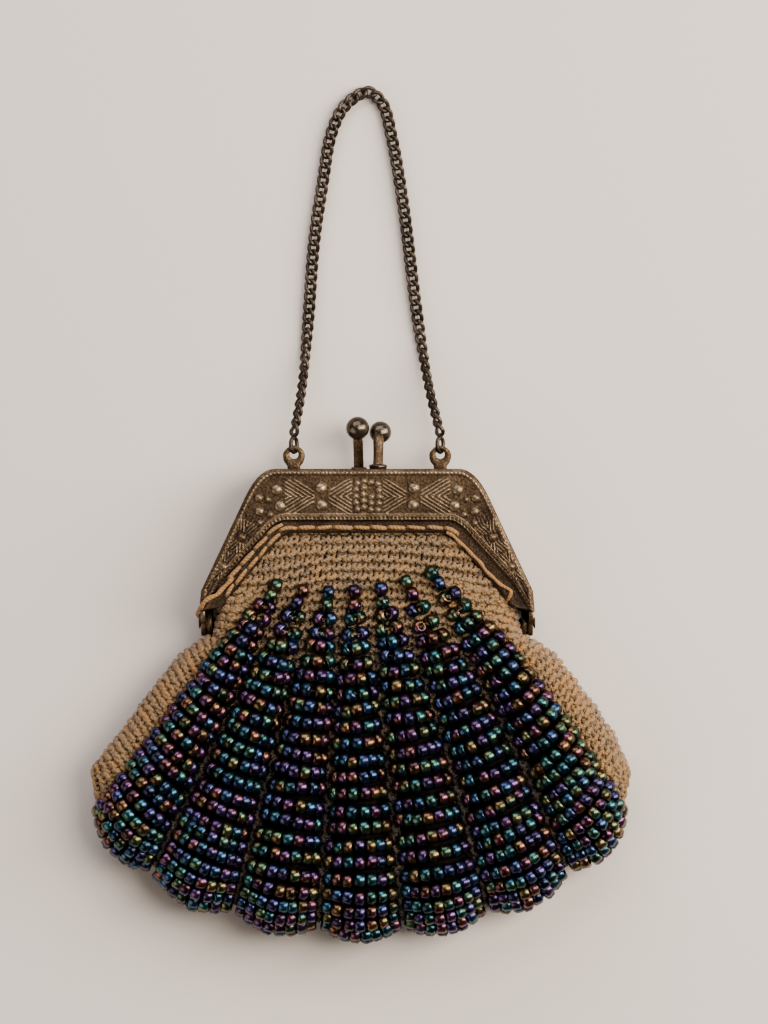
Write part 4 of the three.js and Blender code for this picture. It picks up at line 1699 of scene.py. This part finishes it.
    def build_edge(self, side: int, cotton: Material) -> None:
        """Makes the courses round one side edge, down to the hem and round its corner.

        Args:
            side: 1 on the right and -1 on the left.
            cotton: Their finish.
        """
        shape = Shape()
        rng = np.random.default_rng(SEED + 2 + side)
        flat = np.linspace(0.05, self.form.turn_fan, 300)
        fans, turns = self.form.way_down(flat, np.radians(np.linspace(0.0, 87.0, 60))[1:])
        quarter = np.array([np.pi / 4.0])
        line = [self.form.edge_section(side, *place, quarter, 0.0) for place in zip(fans, turns)]
        way = lengths_along(np.concatenate(line))
        rows = np.arange(0.0, way[-1], self.edge_stitch.pitch)
        marks = zip(np.interp(rows, way, fans), np.interp(rows, way, turns))
        cloth = np.stack([self.edge_loop(side, *mark) for mark in marks])
        down, across = unit(np.gradient(cloth, axis=0)), unit(np.gradient(cloth, axis=1))
        normals = side * unit(np.cross(down, across))
        start, swell = 0.0, 0.0
        for number, (line, normal) in enumerate(zip(cloth, normals)):
            lower = number % 2 == 1
            start, swell = (start, swell) if lower else (rng.random(), rng.normal(0.0, self.swell))
            base = line + normal * (self.lift + swell)
            rings = self.edge_stitch.course(base, normal, lower == (side > 0), start, rng)
            shape.add_strand(rings, self.edge_tone + self.mottle(len(rings), rng), self.edge_stitch.lay)
        shape.piece(f"knit_edge_{'right' if side > 0 else 'left'}", [cotton], Slot.COTTON)

    def build_valleys(self, face: Face, cotton: Material) -> None:
        """Makes the courses that show between one face's swags, a ridge down each valley.

        Args:
            face: Front or back.
            cotton: Their finish.
        """
        shape = Shape()
        rng = np.random.default_rng(SEED + 5)
        flat = np.linspace(self.valley_from, self.form.turn_fan, 60)
        fans, turns = self.form.way_down(flat, np.linspace(0.0, 1.2, 14)[1:])
        for valley in np.arange(-2.5, 3.0):
            start = rng.random()
            for side in SIDES:
                line = np.full_like(fans, valley + side * self.valley_half)
                base, above = [
                    self.form.face_point(line, fans, turns, face, np.full_like(fans, self.lift + rise))
                    for rise in (0.0, 1.0)
                ]
                normal = above - base
                rings = self.stitch.course(base, normal, side * face.value < 0, start, rng)
                # Painted shade: the courses darken down the valley, deep between the swags.
                deeper_shade = smooth(np.linspace(0.0, 1.0, len(rings)), 0.0, 0.45)[:, None]
                tones = mix(*self.valley_shade_tones, deeper_shade) + self.mottle(len(rings), rng)
                shape.add_strand(rings, tones, self.stitch.lay)
        shape.piece(f"knit_valleys_{face.name.lower()}", [cotton], Slot.COTTON)


@dataclass(frozen=True)
class BeadFlutes:
    """The swags of bead rows: seven on each face, each row strung on a thread and arched over the cloth."""

    form: BagForm
    flutes: int = 3
    row_drops: tuple[float, ...] = (
        18.9, 20.9, 23.1, 25.5, 27.7, 30.2, 32.5, 34.8, 37.2, 39.8,
        42.3, 44.9, 47.4, 50.0, 52.8, 55.2, 58.0, 60.3, 62.9,
    )
    hem_rows: int = 5
    bead: float = 2.1
    bead_pitch: float = 1.68
    bead_half: float = 0.84
    top_half: float = 0.2
    half: float = 0.435
    hem_half: float = 0.462
    full_at: float = 0.3
    bulge: float = 2.0
    bulge_at: float = 0.5
    edge: float = 1.1
    hem_bulge: float = 1.1
    thread: float = 0.16
    core_from: float = 0.14
    row_shift: float = 0.022
    row_tilt: float = 0.005
    sheen_turn: float = 0.16
    profile: tuple[tuple[float, float], ...] = (
        (-0.56, 0.99), (0.56, 0.99), (0.98, 0.72), (0.88, 0.36), (-0.88, 0.36), (-0.98, 0.72),
    )
    around: int = 10
    lengths: tuple[float, float] = (0.95, 1.1)
    radii: tuple[float, float] = (1.05, 1.16)
    bead_lift: float = 0.95
    core_lift: float = 0.12
    clearance: float = 0.05
    # Painted shade: the threads darken down the swag, between the beads.
    thread_shade_tones: tuple[float, float] = (0.55, 0.15)
    bead_lean: float = 0.11
    bead_stray: float = 0.06
    bead_play: float = 0.12
    pair_spread: float = 1.35
    # Painted shade: the cloth under the beads is dark, and black further down.
    cloth_shade_tone: float = 0.12

    def rows(self, face: Face) -> tuple[Array, Array]:
        """Where the rows are: down the face, then round the hem to its outermost line, which is the front's.

        Args:
            face: Front or back.

        Returns:
            Each row's fan and turn.
        """
        _, hem = self.form.hem(0.0)
        flat = (np.array(self.row_drops) - self.form.top_drop) / (hem - self.form.top_drop)
        turn = np.radians(90.0) * np.arange(1, self.hem_rows + 1) / self.hem_rows
        fan, turns = self.form.way_down(flat, turn)
        last = len(fan) if face is Face.FRONT else len(fan) - 1
        return fan[:last], turns[:last]

    def half_at(self, fan: Array) -> Array:
        """Half a swag's width at a fan, in lines: narrow at the top, and widest at the hem."""
        full = mix(self.half, self.hem_half, smooth(fan, 0.55, 0.95))
        return mix(self.top_half, full, smooth(fan, 0.0, self.full_at))

    def section(self, flute: int, fan: Array, turn: Array, face: Face, across: Array, sunk: float) -> Array:
        """Sections of a swag: an arch of thickness edge + (crest - edge)(1 - t^2), from t = -1 to 1.

        On the back, where the purse lies on it, the swag is pressed flat on the table.

        Args:
            flute: The flute's number from the middle.
            fan: The fan of each row, or of each row and place.
            turn: Each row's turn.
            face: Front or back.
            across: Places t.
            sunk: How far under the arch.

        Returns:
            Points as rows, places, and x, y, z.
        """
        fan, turn = fan.reshape(len(turn), -1), turn[:, None]
        half = self.half_at(fan)
        swell = mix(self.bulge, self.hem_bulge, np.sin(turn))
        crest = self.bead + swell * smooth(fan, 0.0, self.bulge_at)
        thick = self.edge + (crest - self.edge) * (1.0 - across[None, :] ** 2)
        lowest = self.core_lift if sunk > self.bead / 2.0 else self.bead_lift
        offset = np.maximum(GAP + thick - sunk, lowest)
        points = self.form.face_point(flute + across[None, :] * half, fan, turn, face, offset)
        points[..., 2] = np.maximum(points[..., 2], self.bead / 2.0 + self.clearance)
        return points

    def place_row(self, line: Array, rng: Rng) -> tuple[Array, Array]:
        """Places the beads of a row along its arch, evenly but for a little play. Two alone hang apart.

        Args:
            line: The arch, rows of x, y, z.
            rng: The random draws.

        Returns:
            The beads' middles, and the row's direction at each.
        """
        total = lengths_along(line)[-1]
        count = max(int(round(total / self.bead_pitch)), 1)
        spread = self.pair_spread if count == 2 else 1.0
        way = total * (0.5 + spread * ((np.arange(count) + 0.5) / count - 0.5))
        way = way + rng.uniform(-self.bead_play, self.bead_play, count)
        middle = along_path(line, way, line)
        along = unit(along_path(line, way, np.gradient(line, axis=0)))
        return middle, along

    def add_core(self, shape: Shape, flute: int, face: Face) -> None:
        """Adds the fluted cloth under the beads, a closed swag that lies a bead's thickness under theirs,
        dark with painted shade.

        Args:
            shape: Where it goes.
            flute: The flute's number from the middle.
            face: Front or back.
        """
        flat = np.linspace(self.core_from, self.form.turn_fan, 24)
        fan, turns = self.form.way_down(flat, np.radians(np.linspace(8.0, 84.0, 7)))
        across = np.linspace(-0.92, 0.92, 15)
        roof = self.section(flute, fan, turns, face, across, self.bead - 0.25)
        base_line = flute + across[None, ::-1] * self.half_at(fan[:, None])
        under = np.full_like(base_line, -0.2)
        base = self.form.face_point(base_line, fan[:, None], turns[:, None], face, under)
        # Painted shade: the cloth under the beads is dark, and black further down.
        tones = self.cloth_shade_tone * (1.0 - smooth(fan, self.core_from, 0.35))
        tones = np.repeat(tones, 2 * len(across))
        shape.add(sleeve(np.concatenate([roof, base], axis=1)), tones, finish=2)

    def build(self, flute: int, face: Face, finishes: list[Material]) -> None:
        """Makes one swag: its beads, the thread through each row and the cloth under them.

        A bead is its profile turned round the row: axial and radial shares of its half length and radius.

        Args:
            flute: The flute's number from the middle.
            face: Front or back.
            finishes: Those of the beads, the threads and the cloth.
        """
        rng = np.random.default_rng(SEED + 100 * (flute + 10) + face.value)
        fan, turn = self.rows(face)
        across = np.linspace(-1.0, 1.0, 41)
        loose = smooth(fan, 0.02, 0.25) * (1.0 - smooth(fan, 0.74, self.form.turn_fan))
        shift = rng.uniform(-self.row_shift, self.row_shift) * loose
        tilt = rng.normal(0.0, self.row_tilt, len(fan)) * loose
        fans = (fan + shift)[:, None] + tilt[:, None] * across
        lines = self.section(flute, fans, turn, face, across, self.bead / 2.0)
        shape = Shape()
        # Painted shade: the threads darken down the swag, where they lie between the beads.
        thread = mix(*self.thread_shade_tones, smooth(fan, 0.08, 0.3))
        middles, axes = [], []
        for row, line in enumerate(lines):
            middle, along = self.place_row(line, rng)
            middles.append(middle)
            axes.append(along)
            ends = flute + np.array([-1.0, 1.0]) * self.half_at(fan[row])
            ground = self.form.face_point(ends, fan[row], turn[row], face, -0.15)
            path = np.concatenate([ground[:1], middle, ground[1:]])
            way = np.linspace(0.0, lengths_along(path)[-1], 2 * len(path) + 5)
            strand = tube(along_path(path, way, path), self.thread, 6, SLANT)
            shape.add(sleeve(strand), thread[row], finish=1)
        centre, axis = np.concatenate(middles), np.concatenate(axes)
        count = len(centre)
        axis = unit(axis * [1.0, 1.0, 0.7] + rng.normal(0.0, self.bead_lean, (count, 3)))
        centre = centre + rng.normal(0.0, self.bead_stray, (count, 3))
        half = self.bead_half * rng.uniform(*self.lengths, count)
        radius = self.bead / 2.0 * rng.uniform(*self.radii, count)
        first = unit(np.cross(axis, SLANT))
        second = np.cross(axis, first)
        profile = np.array(self.profile)
        angle = np.linspace(0.0, TURN, self.around, endpoint=False)
        cosine, sine = np.cos(angle)[None, :, None], np.sin(angle)[None, :, None]
        spokes = cosine * first[:, None, :] + sine * second[:, None, :]
        axial = (half[:, None] * profile[None, :, 0])[:, :, None, None] * axis[:, None, None, :]
        radial = (radius[:, None] * profile[None, :, 1])[:, :, None, None] * spokes[:, None, :, :]
        rings = centre[:, None, None, :] + axial + radial
        rings[..., 2] += np.maximum(0.0, -rings[..., 2].min(axis=(1, 2)))[:, None, None]
        sheen = rng.random(count)[:, None]
        sheen = sheen + self.sheen_turn * np.sin(angle + rng.uniform(0.0, 6.0, (count, 1)))
        shape.add_copies(rings, sheen)
        self.add_core(shape, flute, face)
        node = f"bead_flute_{face.name.lower()}_{flute + self.flutes + 1}"
        shape.piece(f"{node}_beads", finishes, Slot.GLASS, node)


# Studio


@dataclass(frozen=True)
class Studio:
    """A pale floor, soft light from the right and from the chain's end, and a camera straight above."""

    pixels_per_mm: float = 6.5
    frame_width: int = 768
    frame_height: int = 1024
    axis_pixel: tuple[float, float] = (367.0, 469.0)
    focus_z: float = 8.0
    distance: float = 900.0
    sensor: float = 36.0
    floor_half: float = 900.0
    floor_colour: str = "#cdc4bc"
    floor_rough: float = 0.85
    surround_colour: str = "#e6e2df"
    surround_strength: float = 0.12

    def camera(self) -> None:
        """Adds the camera, whose lens gives the photograph's scale at the purse's height."""
        width = self.frame_width / 2.0 - self.axis_pixel[0]
        height = self.frame_height / 2.0 - self.axis_pixel[1]
        across, up = width / self.pixels_per_mm, -height / self.pixels_per_mm
        centre = ORIGIN + [across, up, self.focus_z + self.distance]
        data = bpy.data.cameras.new("camera")
        data.sensor_width = self.sensor
        data.lens = self.sensor * self.distance * self.pixels_per_mm / self.frame_height
        data.clip_start, data.clip_end = 0.01, 10.0
        made = bpy.data.objects.new("camera", data)
        made.location = centre * MM
        bpy.context.scene.collection.objects.link(made)
        bpy.context.scene.camera = made

    def lamp(self, name: str, place: Spot, size: tuple[float, float], watts: float, colour: str) -> None:
        """Adds a rectangular lamp that faces the purse.

        Args:
            name: Its name.
            place: Where it stands, in metres.
            size: Its sides, in metres.
            watts: Its power.
            colour: Its colour.
        """
        data = bpy.data.lights.new(name, "AREA")
        data.shape = "RECTANGLE"
        data.size, data.size_y = size
        data.energy, data.color = watts, linear(colour)[:3]
        made = bpy.data.objects.new(name, data)
        made.location = place
        made.rotation_mode = "QUATERNION"
        made.rotation_quaternion = (-made.location).to_track_quat("-Z", "Y")
        bpy.context.scene.collection.objects.link(made)

    def lights(self) -> None:
        """Adds a window to the right, a broad soft sky beyond the chain, and a dim room at the lower left."""
        self.lamp("window", (0.43, 0.1, 0.44), (0.34, 0.8), 8.2, "#fff8ee")
        self.lamp("sky", (-0.12, 0.68, 0.56), (1.1, 0.6), 7.2, "#f8f6fc")
        self.lamp("room", (-0.5, -0.3, 0.36), (0.6, 0.5), 1.6, "#fff4ea")
        world = bpy.data.worlds.new("surround")
        world.use_nodes = True
        inputs = world.node_tree.nodes["Background"].inputs
        inputs["Color"].default_value = linear(self.surround_colour)
        inputs["Strength"].default_value = self.surround_strength
        bpy.context.scene.world = world
        bpy.context.scene.view_settings.look = "AgX - Medium High Contrast"

    def floor(self) -> None:
        """Adds the plain pale floor, level with the purse's lowest point."""
        half = self.floor_half * MM
        mesh = bpy.data.meshes.new("floor")
        corners = [(-half, -half, 0.0), (half, -half, 0.0), (half, half, 0.0), (-half, half, 0.0)]
        mesh.from_pydata(corners, [], [(0, 1, 2, 3)])
        # Matt paint on a board scatters all light, so the floor is even and takes soft shadows.
        material, tree = new_material("board_painted_pale")
        end_tree(tree, {"Base Color": linear(self.floor_colour), "Roughness": self.floor_rough})
        mesh.materials.append(material)
        made = bpy.data.objects.new("floor", mesh)
        bpy.context.scene.collection.objects.link(made)

    def build(self) -> None:
        """Makes the camera, the lights and the floor."""
        self.camera()
        self.lights()
        self.floor()


def main() -> None:
    """Builds the purse from its frame to its beads, and the studio round it."""
    logging.basicConfig(level=logging.INFO, format="%(name)s %(message)s")
    LOG.info("%d solids to dress", len(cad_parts))
    Studio().build()
    brass = TarnishedBrass().material()
    handled = TarnishedBrass(
        "brass_ball_handled", CHAIN_STOPS, patch_share=0.5, grit_share=0.2,
        rough_low=0.32, rough_high=0.12, metallic=0.85,
    )
    polished = handled.material()
    wire = TarnishedBrass("brass_wire_browned", CHAIN_STOPS, rough_low=0.45, rough_high=0.22, metallic=0.8)
    chain_brass = wire.material()
    cotton = CottonYarn().material()
    ground = CottonYarn(name="cotton_knit_in_shade", specular=0.04, sheen=0.0).material()
    glass = IrisGlass().material()
    front_clasp = Clasp((1.7, -0.35, 8.2), (2.05, 5.7, 4.9), 1.7, 0.8)
    back_clasp = Clasp((-1.25, -0.35, 3.9), (-1.45, 6.3, 6.6), 1.8, 0.75)
    FrameHalf(Face.FRONT, 680, 84, front_clasp, 25.55, 10.4).build(brass, polished)
    FrameHalf(Face.BACK, 180, 12, back_clasp, 24.55, 1.0).build(brass, polished)
    HingeRivets().build(brass)
    RailStitching().build(cotton)
    ChainHandle().build(chain_brass)
    form = BagForm()
    bag = KnitBag(form)
    bag.build_wall(ground)
    for face in Face:
        bag.build_yoke(face, cotton)
        bag.build_valleys(face, cotton)
    for side in SIDES:
        bag.build_edge(side, cotton)
    beads = BeadFlutes(form)
    for face in Face:
        for flute in range(-beads.flutes, beads.flutes + 1):
            beads.build(flute, face, [glass, cotton, ground])


if __name__ == "__main__":
    main()
